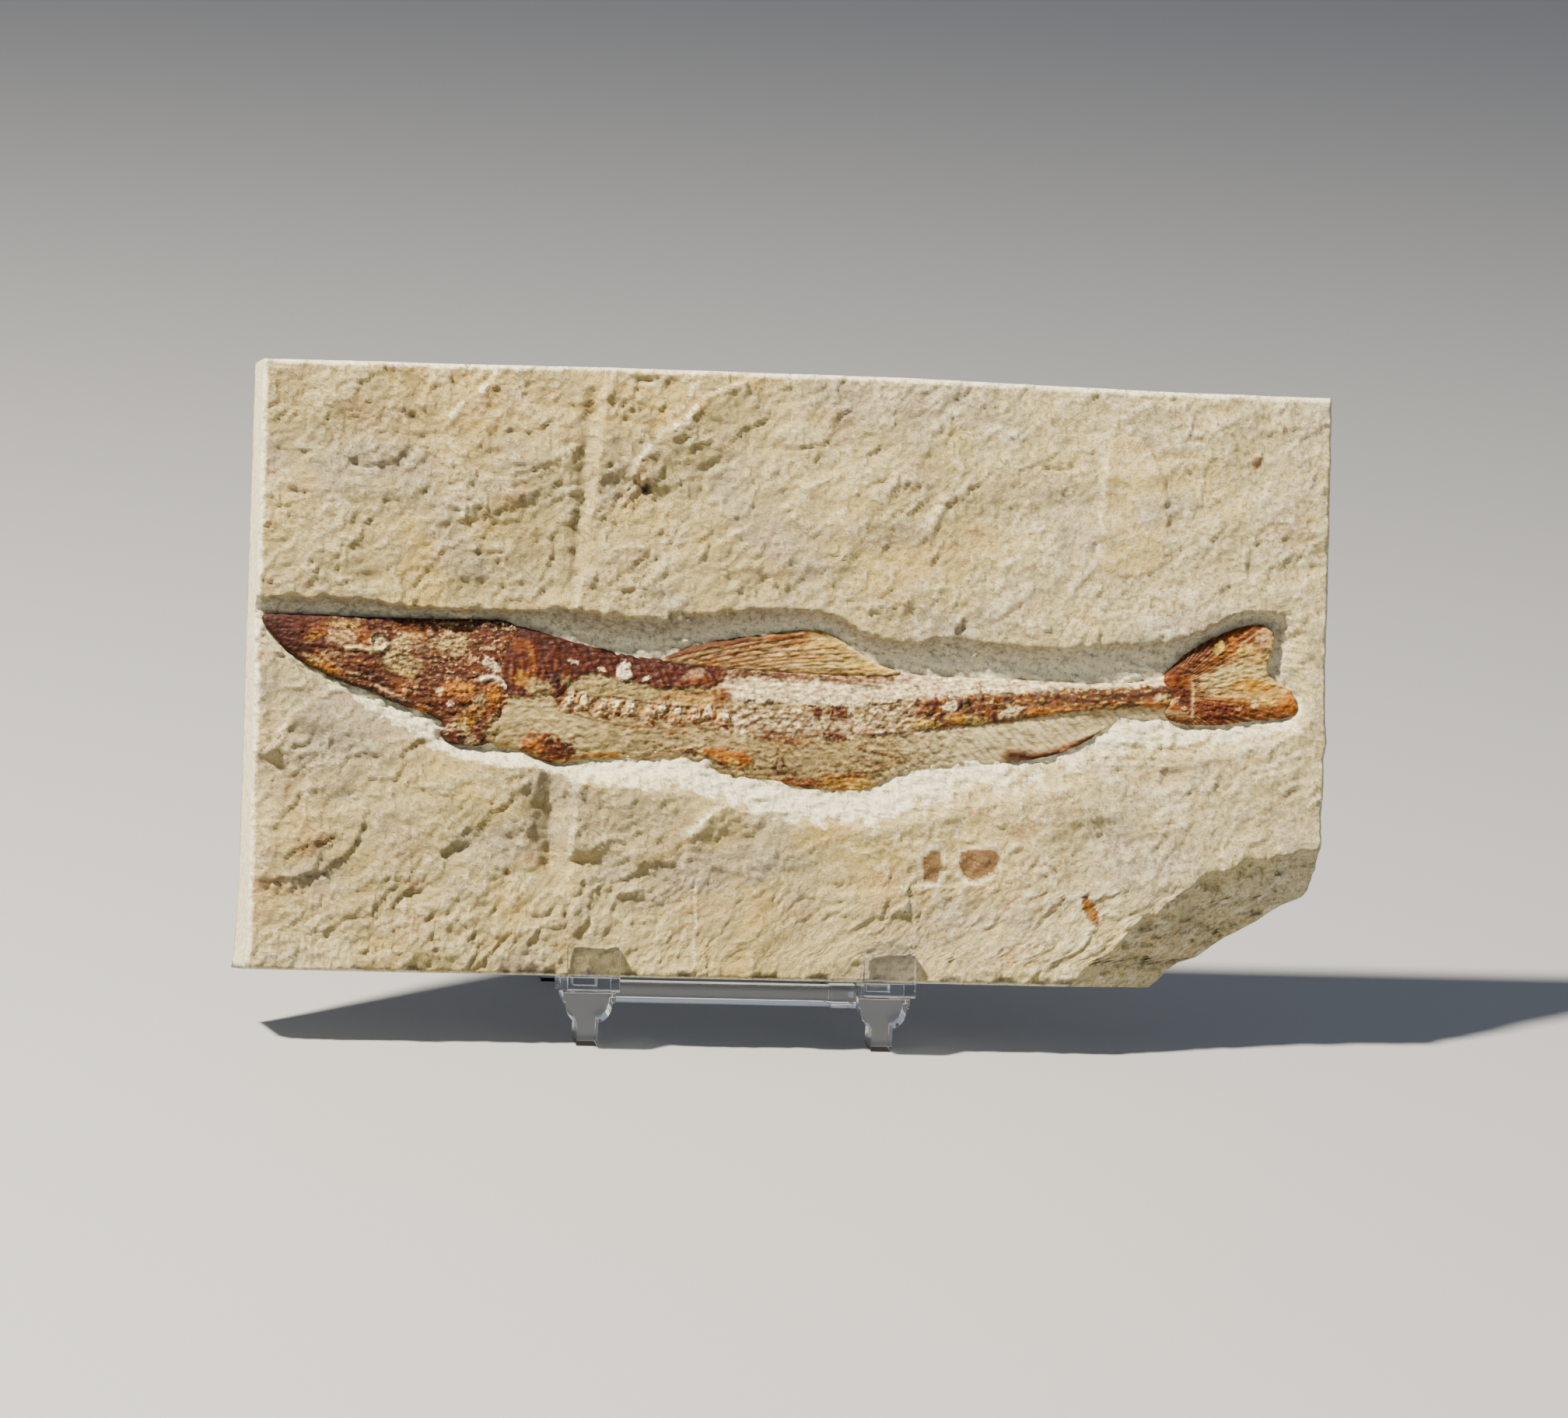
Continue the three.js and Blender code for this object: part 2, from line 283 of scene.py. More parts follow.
belly = [
    [202, 59.6], [194.5, 60.2], [190.5, 57.2], [185.5, 54.0], [180, 51.6], [175.5, 50.3],
    [163, 49.0], [150.3, 47.6], [142.5, 45.6], [139.6, 43.6], [135.2, 41.7], [128, 42.0],
    [120, 42.8], [112.5, 44.2], [106.5, 44.3], [99.9, 47.3], [94.5, 49.0], [87, 47.6],
    [82.2, 48.0], [74.7, 47.4], [68.3, 46.4], [63.5, 47.3], [59.5, 49.2]]
jaw = [
    [47.5, 50.0], [43.4, 50.6], [41.2, 52.5], [42.6, 54.0], [40.5, 56.4], [35.6, 57.8],
    [30.5, 59.2], [25.5, 61.6], [18.2, 63.6], [12.9, 66.4], [7.8, 69.2]]
fish_outline = rounded([
    [0.4, 77.5], *snout_top, [58, 77.6], *nape, [94.8, 72.5], [101, 74.3], [110, 75.8],
    [120, 77.3], [125.2, 77.6], [130, 75.7], [134, 73.0], [139, 70.0], [145, 68.7], *rear_back,
    [206, 72.2], [209.6, 75.4], [214.6, 78.4], [220, 80.7], [224.7, 82.0], [227.6, 81.2],
    [228.8, 79.2], [228.2, 76.6], [227.0, 73.4], [226.6, 70.8], [229.6, 68.6], [232.6, 67.2],
    [234.3, 64.6], [234.0, 62.2], [231, 61.0], [221, 60.2], [217, 59.2], [208.3, 59.2],
    *belly, [53.2, 49.2], *jaw, [4.2, 72.6], [0.9, 75.8]])

stone_scarps = [
    # line, height, reach, edge: the left of the line stands up
    ([(45.2, 100.6), (50, 100.5), (56, 103.4), (60, 106.0), (66, 108.5), (72, 103)], 0.36, 9, 0.7),
    ([(42, 116), (44.5, 108), (45.2, 100.8)], 0.7, 6, 0.4),
    ([(51.5, 133), (49, 129), (44, 125.2), (39.5, 121)], 1.0, 5, 0.3),
    ([(0.5, 19.6), (10, 20.2), (16, 21.8), (21.5, 26), (24.4, 31), (25, 37)], 0.62, 10, 0.4),
    ([(8, 25), (12, 27.8), (16, 28.4), (20.4, 31)], 0.3, 4, 0.3),
    ([(84, 24.2), (87, 25.2), (90.4, 25.3), (94, 24.4)], 0.45, 6, 0.3),
    ([(70.6, 46), (70.6, 34), (70.2, 25)], 1.6, 9, 0.5),
    ([(70.2, 25), (71, 15), (70.2, 9)], 0.5, 5, 0.5),
    ([(75.4, 133), (74.8, 122), (73.6, 108), (72.0, 97)], 0.9, 8, 0.6),
    ([(71.4, 90), (70.4, 84), (69.6, 79)], 0.8, 5, 0.5),
    ([(110, 133), (103, 130.8), (98, 128), (94.4, 124.6), (91, 121.4), (86.5, 118.4)], 1.1, 6, 0.4),
    ([(86.5, 118.4), (83, 113.4), (81, 109.5)], 0.8, 5, 0.4),
    ([(106.5, 39.6), (101.5, 36.9), (98, 33.6), (94.6, 30.4)], 1.3, 6, 0.4),
    ([(99, 24), (98.2, 15), (98.6, 3)], 0.5, 4, 0.3),
    ([(146.0, 14.6), (146.2, 21.4)], 0.5, 3, 0.2),
    ([(163, 22.8), (154, 21.7), (146, 21.5)], 0.5, 4, 0.2),
    ([(38, 131), (35.5, 126.5), (33.5, 124)], 0.7, 5, 0.4),
    ([(15.6, 118), (17.4, 113.4), (23, 110.6), (29, 111.6), (33.4, 116.4)], 0.55, 8, 0.4),
    ([(153.0, 108.5), (148.5, 101.5)], 0.35, 3, 0.6),
    ([(14, 61), (8, 55.4), (4.5, 50.5), (2, 46)], 1.1, 6, 0.4),
    ([(41, 26.0), (48, 28.6)], 0.4, 5, 0.4),
    ([(31.6, 14.6), (34.4, 17.4), (37.8, 18.4)], 0.4, 5, 0.4),
    ([(110, 101.4), (100, 95.4)], 0.6, 4, 0.4),
]
stone_grooves = [
    # line, depth, width
    ([(73.2, 133), (72.2, 122), (71.2, 108), (70.2, 97.5), (69.8, 88), (68.8, 80)], 0.7, 1.6),
    ([(70.5, 98), (72.5, 96.4), (75.5, 95.4)], 0.5, 0.5),
    ([(65.0, 44), (66.2, 35), (66.4, 25), (69.0, 24)], 0.7, 1.6),
    ([(44.9, 103), (44.6, 99.2)], -0.5, 0.35),
    ([(41.8, 114), (41.2, 107)], -0.35, 0.35),
    ([(228.5, 84.2), (231.5, 84.0), (233.8, 81.8)], 0.45, 0.3),
    ([(176, 27.5), (180.5, 24.6)], 0.35, 0.3),
    ([(207, 115.2), (210, 113.4)], 0.35, 0.35),
    ([(174, 114.6), (182, 115.2)], 0.35, 0.4),
    ([(220.1, 104.4), (220.3, 102)], 0.4, 0.3),
    ([(113, 90), (110.5, 84.5), (108.5, 82.5)], 0.5, 1.0),
    ([(72.5, 19), (69.8, 14), (70.6, 8)], 0.4, 0.8),
]
fresh_edges = [
    # line, width, whiteness: edges and cracks where the stone is freshly bruised
    ([(51.5, 133), (48.5, 128.5), (45, 125.4), (40, 121)], 0.45, 0.8),
    ([(44.5, 98.8), (44.8, 103.4)], 0.35, 0.8),
    ([(41.8, 106.5), (42.4, 115)], 0.35, 0.6),
    ([(75.2, 133), (74.4, 122), (73.4, 108), (72.2, 98)], 0.6, 0.22),
    ([(71.6, 88), (70.6, 80)], 0.5, 0.3),
    ([(108, 133), (103, 131), (98, 128.6), (95, 125.3), (92, 122), (89, 120.4), (85.6, 117.6),
      (81.6, 111.5)], 0.5, 0.8),
    ([(96.5, 132.4), (93.4, 126.4), (91, 120.8)], 0.35, 0.5),
    ([(105, 39.8), (101.4, 36.9), (98, 33.6), (94.6, 31)], 0.5, 0.8),
    ([(99.0, 24), (98.0, 18), (98.8, 13), (98.3, 8), (99, 2)], 0.32, 0.8),
    ([(70.5, 46), (70.7, 35), (70.3, 25)], 0.5, 0.5),
    ([(147.3, 100), (150, 104.6), (152.8, 108.6)], 0.8, 0.6),
    ([(155.8, 32.4), (159, 38.4)], 0.4, 0.6),
    ([(75.5, 16), (75.4, 9)], 0.3, 0.6),
    ([(4.6, 49.4), (8.2, 55.6), (12, 60)], 0.5, 0.7),
    ([(100.6, 95.6), (109.5, 101.2)], 0.45, 0.5),
    ([(125.6, 101.8), (129.4, 104.4)], 0.5, 0.5),
    ([(143.4, 21.6), (153, 21.5)], 0.28, 0.6),
    ([(146.1, 14.6), (146.1, 21.4)], 0.3, 0.6),
    ([(187.4, 94.5), (187.6, 106), (188.4, 119)], 0.6, 0.35),
    ([(121, 10), (124.4, 15.4)], 0.4, 0.5),
    ([(35, 131), (31.6, 124.6)], 0.4, 0.4),
]
# Soiled cracks: dirt in the cracks, with painted shadow along the shaded side of their ledges.
shaded_soiled_cracks = [
    # line, width, darkness
    ([(4.4, 19.4), (10, 19.8), (15.4, 21.0), (19.4, 23.6), (22.5, 27.8), (24.6, 31), (25, 34)], 0.5, 0.45),
    ([(8, 25), (12, 27.8), (16, 28.4), (20, 30)], 0.5, 0.35),
    ([(57.4, 46), (61, 38), (64, 26), (66.6, 20.6)], 0.45, 0.35),
    ([(66.6, 20.6), (69.2, 16.4), (70.2, 9.4)], 0.45, 0.5),
    ([(83.6, 24.0), (87, 24.9), (90.4, 25.0), (94.4, 24.0)], 0.35, 0.5),
    ([(45.4, 100.6), (50, 100.4), (54.4, 102.6), (58, 104.6), (61.4, 106.2), (66.4, 109.6)], 0.5, 0.35),
    ([(71.6, 133), (70.8, 120), (69.8, 108), (69.6, 98), (69.4, 88), (68.8, 80)], 0.8, 0.25),
    ([(69.8, 98.2), (72.2, 96.2), (75.2, 95.2)], 0.35, 0.7),
    ([(229, 84.2), (232, 84.1), (233.6, 82.2)], 0.3, 0.6),
    ([(41, 26.4), (48, 28.8)], 0.45, 0.45),
    ([(31.6, 15), (34.4, 17.8), (37.4, 18.8)], 0.4, 0.5),
    ([(134, 115.8), (140, 116.4)], 0.5, 0.3),
    ([(207, 115.3), (210.2, 113.2)], 0.35, 0.5),
    ([(127.5, 117.2), (130.4, 116.8)], 0.4, 0.35),
    ([(18.6, 112.6), (27.4, 111.8)], 0.6, 0.35),
]
stone_swellings = [
    # centre, radii, angle, height
    ((57, 117), (13, 14), 40, 0.9), ((22, 126), (17, 8), 30, 0.6), ((10, 108), (10, 14), 10, 0.4),
    ((65.5, 33), (3.6, 11), 4, -2.0), ((68, 22), (2.2, 4), 0, -0.8),
    ((150.6, 104.8), (1.5, 5), -24, 0.45), ((33, 121.5), (2.4, 0.9), -30, -0.8),
    ((35, 118.4), (1.6, 0.7), -15, 0.6), ((38.5, 117.6), (2, 1.6), 0, -0.7),
    ((85.2, 107.8), (0.75, 1.2), -15, -1.4), ((77.2, 112.2), (0.7, 0.8), 0, -0.8),
    ((27, 89), (20, 8), 20, 0.3), ((21.5, 38), (3.6, 2.2), 25, -0.9),
    ((8.2, 104.4), (2.4, 0.8), -10, -0.7), ((46, 27.4), (5, 1.1), 18, -0.6),
    ((37, 18), (4.6, 1.5), 25, -0.6), ((93, 98), (10, 3), 50, -0.5),
    ((126, 115.5), (7, 2), 40, -0.5), ((137, 117), (4, 1.2), 25, -0.5),
    ((188, 33), (4, 2.4), 30, -0.5), ((63.5, 127), (3, 3), 40, -0.6),
    ((84, 131.3), (3.6, 0.8), 0, -0.7), ((120, 97), (26, 10), 30, 0.4),
    ((206, 47.5), (5, 1.6), 20, -0.5),
]

# The rim of a smooth raised plate at the upper right, and two loose fish scales below the fish.
plate_rim = rounded([
    [187.4, 92.6], [187.2, 105], [187.8, 118], [191, 123.4], [197, 122.6], [201.4, 116], [203, 107],
    [202.6, 95], [198.6, 91.2], [191.6, 91.4]])
left_scale = np.array([
    [149, 27.5], [151, 29.3], [153.3, 29.5], [153.4, 25], [152.4, 22.6], [149.4, 22.7]])
right_scale = np.array([
    [157.5, 29], [159, 29.8], [165, 30.2], [166.6, 28.6], [165.4, 25.4], [163, 24], [160.5, 22.9],
    [158, 24.4], [157, 27]])


def trench_share(u, v):
    """0 on the face of the stone, 1 where the trench has reached the fish."""
    near = (v > 28) & (v < 90)
    share = np.zeros(u.shape)
    wobble = 0.6 * layered(u[near] / 3.4, v[near] / 3.4, 31, 3)
    to_rim = inside_depth(u[near], v[near], trench_rim) + wobble
    to_fish = np.maximum(-inside_depth(u[near], v[near], fish_outline), 0)
    share[near] = np.where(to_rim > 0, to_rim / (to_rim + to_fish + 1e-6), 0)
    return share


def break_depth(u, v):
    """How far the broken corner's face lies behind the slab's face."""
    scarp = [(243, 32.6), (226, 29.6), (214, 25.6), (205.5, 19.5), (197, 13.5), (190, 7), (181, -2)]
    off, _ = from_line(u, v, scarp)
    off = off + 0.9 * layered(u / 9, v / 9, 41, 3) + 0.7 * layered(u / 3.4, v / 3.4, 42, 2)
    past = np.maximum(off, 0)
    return np.minimum(1.3 * (1 - np.exp(-past / 1.2)) + 0.8 * past, slab_thickness - 1.5)


def flaked_off(level, step):
    """Overlapping flakes: each rises slowly and ends in a sharp little edge."""
    share = level - np.floor(level)
    return step * (smooth(0, 0.22, share) - share)


def face_grain(u, v):
    """The hackly grain of the split, which runs up to the right and is calmer to the right."""
    calm = 0.52 + 0.24 * smooth(165, 60, u + 0.5 * (70 - v))
    slant = math.radians(42)
    warp = 1.5 * layered(u / 12, v / 12, 3, 3)
    run = u * math.cos(slant) + v * math.sin(slant) + warp
    climb = v * math.cos(slant) - u * math.sin(slant) - warp
    rugged = 0.35 + 0.85 * smooth(-0.35, 0.5, layered(u / 19, v / 15, 17, 3))
    grain = flaked_off(1.3 * layered(run / 24, climb / 13, 14, 6), 0.95)
    grain += rugged * flaked_off(1.2 * layered(run / 9, climb / 4.8, 15, 4), 0.5)
    grain += rugged * 0.36 * layered(run / 5.2, climb / 2.6, 18, 4)
    grain += 0.42 * layered(run / 2.1, climb / 1.5, 13, 3)
    return calm * grain


def depth_into(u, v, outline, wobble):
    """How far inside a small outline each point lies, its edge made ragged; -9 well away."""
    depth = np.full(u.shape, -9.0)
    low, high = np.min(outline, axis=0) - 4, np.max(outline, axis=0) + 4
    near = (u > low[0]) & (u < high[0]) & (v > low[1]) & (v < high[1])
    ragged = wobble * layered(u[near] / 3, v[near] / 3, 104, 3)
    depth[near] = inside_depth(u[near], v[near], outline) + ragged
    return depth


def face_height(u, v):
    """The broader heights of the split face, in millimetres out from its mean plane."""
    height = 0.9 * layered(u / 42, v / 30, 21, 2) + 0.72 * layered(u / 17, v / 11, 22, 3)
    for line, rise_by, reach, edge in stone_scarps:
        height += ledge(u, v, line, 1.7 * rise_by, reach, edge)
    for line, depth, width in stone_grooves:
        height += groove(u, v, line, 1.4 * depth, width)
    for centre, radii, angle, amount in stone_swellings:
        height += 1.3 * amount * mound(u, v, centre, radii, angle)
    return height


# The block, cut into a fine grid. Its face is cut finer, then every point is moved to its place.
slab_bm = bmesh.new()
bmesh.ops.create_cube(slab_bm, size=1.0)
for axis, cuts in ((0, 122), (2, 68), (1, 6)):
    along_axis = [e for e in slab_bm.edges if abs(e.verts[0].co[axis] - e.verts[1].co[axis]) > 1e-5]
    bmesh.ops.subdivide_edges(slab_bm, edges=along_axis, cuts=cuts, use_grid_fill=True)
face_edges = [e for e in slab_bm.edges if e.verts[0].co.y < -0.4999 and e.verts[1].co.y < -0.4999]
bmesh.ops.subdivide_edges(slab_bm, edges=face_edges, cuts=2, use_grid_fill=True)
raw = np.array([vert.co for vert in slab_bm.verts])
share_across, back_share, share_up = raw[:, 0] + 0.5, raw[:, 1] + 0.5, raw[:, 2] + 0.5

# Where each point lies on the face, within its outline, and how near the worn edges.
left_at = np.interp(share_up * slab_height, [0, 5, 20, 133], [-0.5, 0.0, 0.0, 0.2])
right_at = np.interp(share_up * slab_height, right_side[:, 0], right_side[:, 1])
slab_u = left_at + (right_at - left_at) * share_across
top_at = np.interp(slab_u, top_side[:, 0], top_side[:, 1])
slab_v = top_at * share_up

to_left, to_right = slab_u - left_at, right_at - slab_u
to_top, to_bottom = top_at - slab_v, slab_v
wear = edge_wear * (1 + 0.35 * layered(slab_u / 6, slab_v / 6, 61, 2))
to_edge = np.minimum(np.minimum(to_left, to_right * 1.6), np.minimum(to_top, to_bottom * 1.8))
edge_round = wear * 0.75 * (1 - np.clip(to_edge / wear, 0, 1)) ** 2
chipped = np.maximum(rough(slab_u / 5.5, slab_v * 0 + 3.3, 63) - 0.12, 0) * chip_depth
bottom_chips = chipped * smooth(1.9, 0.2, to_bottom)

# The face's height: its own split, then the trench, the broken corner and the worn edges.
fish_middle = np.interp(slab_u, [0, 30, 60, 120, 200, 225, 240], [74, 68, 63, 60, 64, 71, 68])
above_fish = smooth(-3, 3, slab_v - fish_middle) * smooth(233, 228, slab_u)
cut = trench_share(slab_u, slab_v)
dug = 1 - (1 - cut) ** (1.12 + 0.9 * above_fish)
from_fish = np.maximum(-inside_depth(slab_u, slab_v, fish_outline), 0)
under_jaw = smooth(50, 36, slab_u) * smooth(76, 70, slab_v + 0.35 * slab_u) * smooth(11, 0, from_fish)
broken = break_depth(slab_u, slab_v)
grain = face_grain(slab_u, slab_v)
plate = smooth(-0.3, 0.7, depth_into(slab_u, slab_v, plate_rim, 0.6))
split = face_height(slab_u, slab_v) + grain * (1 - 0.55 * plate) + 0.6 * plate
in_trench = smooth(0.0, 0.25, cut)
on_break = smooth(0.2, 1.5, broken)
tool_marks = 0.75 * layered(slab_u / 3.4, slab_v / 1.8, 81, 4)
tool_marks += 0.16 * rough(slab_u / 0.9, slab_v / 6, 83)
break_grain = 1.3 * layered(slab_u / 6.5, slab_v / 4.5, 82, 3)
break_grain += 0.8 * layered(slab_u / 2.6, slab_v / 1.9, 86, 3)
height = split * (1 - 0.75 * in_trench) * (1 - 0.45 * on_break)
height += in_trench * tool_marks + on_break * break_grain
height -= np.maximum(trench_depth * dug, jaw_trench_depth * under_jaw) + broken
height -= edge_round * (1 - 0.6 * in_trench)
height -= bottom_chips
height = np.maximum(height, thinnest_stone - slab_thickness)

# The sawn sides and the back have only a light grain. The left side slopes outward to the back.
on_left, on_right = share_across < 1e-4, share_across > 1 - 1e-4
on_top, on_bottom = share_up > 1 - 1e-4, share_up < 1e-4
depth_mm = back_share * slab_thickness
side_grain = 0.14 * layered(depth_mm / 3, (slab_u + slab_v) / 5, 91, 3) * smooth(0, 0.2, back_share)
slab_u = slab_u - on_left * (back_share * np.interp(slab_v, [0, 20, 133], [1.6, 0.9, 0.5]))
slab_u = slab_u + side_grain * (on_right * 1.0 - on_left * 1.0)
slab_v = slab_v + side_grain * (on_top * 1.0 - on_bottom * 1.0)
back_grain = 0.22 * layered(slab_u / 16, slab_v / 9, 95, 4) * smooth(0.98, 1.0, back_share)
slab_out = height * (1 - back_share) - slab_thickness * back_share + np.maximum(-back_grain, 0)

for vert, place in zip(slab_bm.verts, place_on_slab(slab_u, slab_v, slab_out)):
    vert.co = place
for face in slab_bm.faces:
    face.smooth = True
slab_data = bpy.data.meshes.new("slab_stone")
slab_bm.to_mesh(slab_data)
slab_bm.free()
slab_stone = bpy.data.objects.new("slab_stone", slab_data)
bpy.context.scene.collection.objects.link(slab_stone)


def paint(mesh, name, colours):
    """Keeps four values on each of a mesh's points, for its material to read."""
    layer = mesh.color_attributes.new(name, "FLOAT_COLOR", "POINT")
    layer.data.foreach_set("color", np.clip(colours, 0, 1).astype(np.float32).ravel())


def stains(rows):
    """Adds up stains on the stone, each a strength and the shape of a patch."""
    return sum(strength * patch(slab_u, slab_v, *shape) for strength, *shape in rows)


def marks_along(cracks):
    """Marks that follow cracks and edges, fading out over each one's width."""
    marks = np.zeros(slab_u.shape)
    for line, width, amount in cracks:
        off, share = from_line(slab_u, slab_v, line)
        off = off + crack_wander(slab_u, slab_v)
        marks = np.maximum(marks, amount * np.exp(-(off / width) ** 2) * taper(share, 0.1))
    return marks


u, v = slab_u, slab_v
on_face = smooth(0.1, 0.0, back_share)
off_trench = on_face * (1 - in_trench)
in_upper_trench = in_trench * above_fish

# Tints: yellow clouds, rose stains with a fine rose ring, and grey-lilac clouds.
yellow = 1.0 * plate + 0.35 * on_break + stains([
    # strength, middle, half sizes, angle, softness
    (0.7, (52, 121), (9, 7), 40, 0.7), (0.5, (108, 32), (6, 4), 0, 0.8),
    (0.7, (123, 31.5), (7, 2.4), 20, 0.8), (0.5, (172, 30), (12, 9), 0, 0.9),
    (0.4, (179, 118), (7, 3.6), 0, 0.8)])
yellow += 0.7 * smooth(0.05, 0.7, layered(u / 24, v / 17, 101, 4))
rose = stains([
    (0.9, (55.5, 105), (3.6, 2.6), 35, 0.6), (0.7, (2, 17), (3, 5), 0, 0.8),
    (0.35, (150, 97), (9, 3), -10, 0.9), (0.5, (45, 81.6), (2.6, 1), 20, 0.6),
    (0.3, (162, 100), (3, 1), 0, 0.8), (0.35, (160, 12), (17, 6), 10, 0.9)])
rose += 0.5 * smooth(0.2, 0.8, layered(u / 15, v / 11, 102, 4))
off_rim = depth_into(u, v, plate_rim, 0.6)
rose += 0.8 * np.exp(-(off_rim / 0.6) ** 2) * smooth(-0.5, 0.3, layered(u / 4, v / 4, 105, 2))
ring, _ = from_line(u, v, [
    (159, 38), (166, 38), (171, 34), (172, 28), (171, 22), (168, 17), (160, 14.5), (150, 14)])
rose += 0.9 * np.exp(-(ring / 0.8) ** 2)
lilac = 0.15 * on_break + stains([
    (0.6, (16, 46), (13, 9), 30, 0.8), (0.5, (82, 34), (12, 7), 20, 0.8),
    (0.5, (105, 24), (8, 5), 0, 0.8), (0.45, (204, 34), (20, 9), 25, 0.8),
    (0.35, (30, 116), (12, 6), 40, 0.9), (0.4, (30, 31), (6, 6), 40, 0.9),
    (0.6, (15, 58), (17, 9), -30, 0.8)])
lilac += 0.75 * smooth(0.0, 0.7, layered(u / 25, v / 17, 103, 4))

# Chalk, where the stone is freshly cut or bruised: the trench's walls, the sawn edges, the break, the cracks
# and the rims of the two scales.
# Part of it is painted light: the upper wall paler toward the fish, the face paler toward the right, the
# grain's crests, and the break, which faces away from the lamp.
by_tail = smooth(226, 230, u) * smooth(63, 68, v)
scraped = 0.35 * layered((u + v) / 6, (v - 0.6 * u) / 2.2, 84, 3)
chalk_limit = 0.04 + 0.36 * smooth(135, 175, u) - 0.2 * smooth(206, 222, u)
chalk_fade = smooth(140, 170, u)
streaks = 0.45 * chalk_fade * layered((u + v) / 9, (v - 0.7 * u) / 1.6, 87, 3)
chalk_full = chalk_limit + 0.22 + 0.4 * chalk_fade
lower_wall = smooth(chalk_limit - 0.02, chalk_full, cut + scraped + streaks) * (1 - above_fish)
lower_wall *= (0.4 + 0.6 * smooth(10, 32, u)) * (1 - 0.8 * by_tail)
lower_wall *= 1 - 0.3 * mound(u, v, (70, 44), (5, 3))
lower_wall *= 1 - 0.4 * smooth(0.0, 0.45, scraped + 0.2 * rough(u / 2, v / 2, 85))
# The upper wall's chalk grows paler toward the fish: chalk, with painted light where the wall comes up to the
# fish.
upper_wall = (0.3 + 0.5 * smooth(0.2, 0.9, cut)) * in_upper_trench
walls = np.maximum(lower_wall * (cut > 0), upper_wall)
fresh = marks_along(fresh_edges)
scale_depths = [depth_into(u, v, outline, 0.25) for outline in (left_scale, right_scale)]
for into in scale_depths:
    fresh = np.maximum(fresh, 0.5 * np.exp(-((into + 0.75) / 0.5) ** 2))
fresh *= 0.8 * smooth(-0.55, 0.15, layered(u / 2.4, v / 2.4, 73, 2))
sawn = np.maximum(smooth(0.0, 0.12, back_share), smooth(wear, 0.25 * wear, to_edge))
# Paler on the grain's crests: partly cleaner stone and partly painted light.
crests = smooth(0.15, 0.75, grain) * off_trench
# The 0.26 of chalk that grows toward the right is painted light: the face paler toward the right.
chalk_and_painted_light = 0.95 * walls + (0.8 * sawn + 0.26 * smooth(100, 190, u)) * (1 - on_break)
# The 0.36 of chalk on the break is partly fresh stone and partly painted light on a face turned from the
# lamp.
chalk_and_painted_light += 0.3 * crests + 0.36 * on_break + fresh * (1 - in_trench)

# Rust: the two scales, a sliver of bone with a cleaner edge, and small iron stains.
rusty = 0.82 * smooth(-0.3, 0.3, scale_depths[0]) + 0.78 * smooth(-0.3, 0.3, scale_depths[1])
rusty += stains([
    # strength, middle, half sizes, angle, softness, and how ragged the sliver's edge is
    (1.5, (187.4, 17.0), (1.35, 3.7), 24, 0.2, 0.12), (0.8, (223.0, 118), (1.5, 1.4), 0, 0.5),
    (0.55, (172.3, 106), (1.4, 1.8), 0, 0.6), (0.7, (229.2, 125.2), (0.6, 1.4), 0, 0.5),
    (0.35, (220, 129.4), (1.8, 1.4), 0, 0.6), (0.6, (15, 28), (6, 2.4), 35, 0.6),
    (0.5, (98.6, 97), (2, 1.3), 30, 0.7), (0.5, (8.0, 39.5), (2, 4), -20, 0.8),
    (0.7, (56.6, 22.4), (1.0, 0.8), 30, 0.4), (0.4, (131, 1.8), (5, 1.4), 0, 0.5),
    (0.5, (1.0, 68.3), (1.2, 1.7), -15, 0.4)])

# Dark: pits; painted shade in the chips and small nicks along the bottom edge; painted shade in the grain's
# hollows, partly dust;
# soiled cracks, with painted shadow on their shaded sides; and painted shade on the trench's upper wall and
# the floor above the fish.
# The chips along the bottom edge are painted dark: painted shade where they face down.
dark = 1.0 * smooth(0.02, 0.5, bottom_chips) + stains([
    (1.0, (85.2, 107.8), (0.9, 1.4), -15, 0.4), (0.6, (77.2, 112.3), (0.8, 0.8), 0, 0.5),
    (0.7, (131.0, 119.2), (0.5, 0.6), 0, 0.5), (0.5, (202.8, 96.9), (0.7, 0.4), 0, 0.5),
    (0.6, (33, 121.4), (2.2, 0.8), -28, 0.5), (0.5, (230.9, 71.2), (1.3, 0.8), -30, 0.6)])
# Painted shade: a patchy darker strip along the bottom edge, in its small nicks.
dark += 0.6 * smooth(1.0, 0.2, to_bottom) * smooth(0, 0.4, rough(u / 2.2, v * 0 + 1.7, 64))
# Painted shade in the grain's hollows, partly dust.
hollows = smooth(-0.1, -0.7, grain) * off_trench
# Dirt and painted shadow along the soiled cracks.
crack_dirt_and_shade = marks_along(shaded_soiled_cracks) * smooth(-0.7, 0.1, layered(u / 2.4, v / 2.4, 74, 2))
# Painted shade on the trench's upper wall and the floor above the fish: darkest near the rim and toward the
# left, where the wall lies in shadow.
upper_trench_painted_shade = 0.1 + 0.3 * smooth(0.55, 0.0, cut) + 0.24 * smooth(110, 60, u)
shaded = upper_trench_painted_shade * in_upper_trench + 0.36 * hollows
# Painted shade: the face darker toward the left. The soiled cracks add dirt and painted shadow.
shaded += 0.14 * smooth(170, 20, u) * on_face + crack_dirt_and_shade * (1 - in_trench)

whole = np.ones(u.shape)
# Over the trench's upper wall, the extra rose and lilac are painted shade: they turn its shadowed chalk grey.
paint(slab_data, "stone_tints", np.stack([
    yellow * off_trench, rose * off_trench + 0.55 * in_upper_trench,
    np.maximum(lilac, 1.5 * in_upper_trench) * on_face, whole], axis=1))
paint(slab_data, "stone_marks_and_shade", np.stack([
    chalk_and_painted_light, rusty * on_face, np.maximum(dark * on_face, shaded), whole], axis=1))


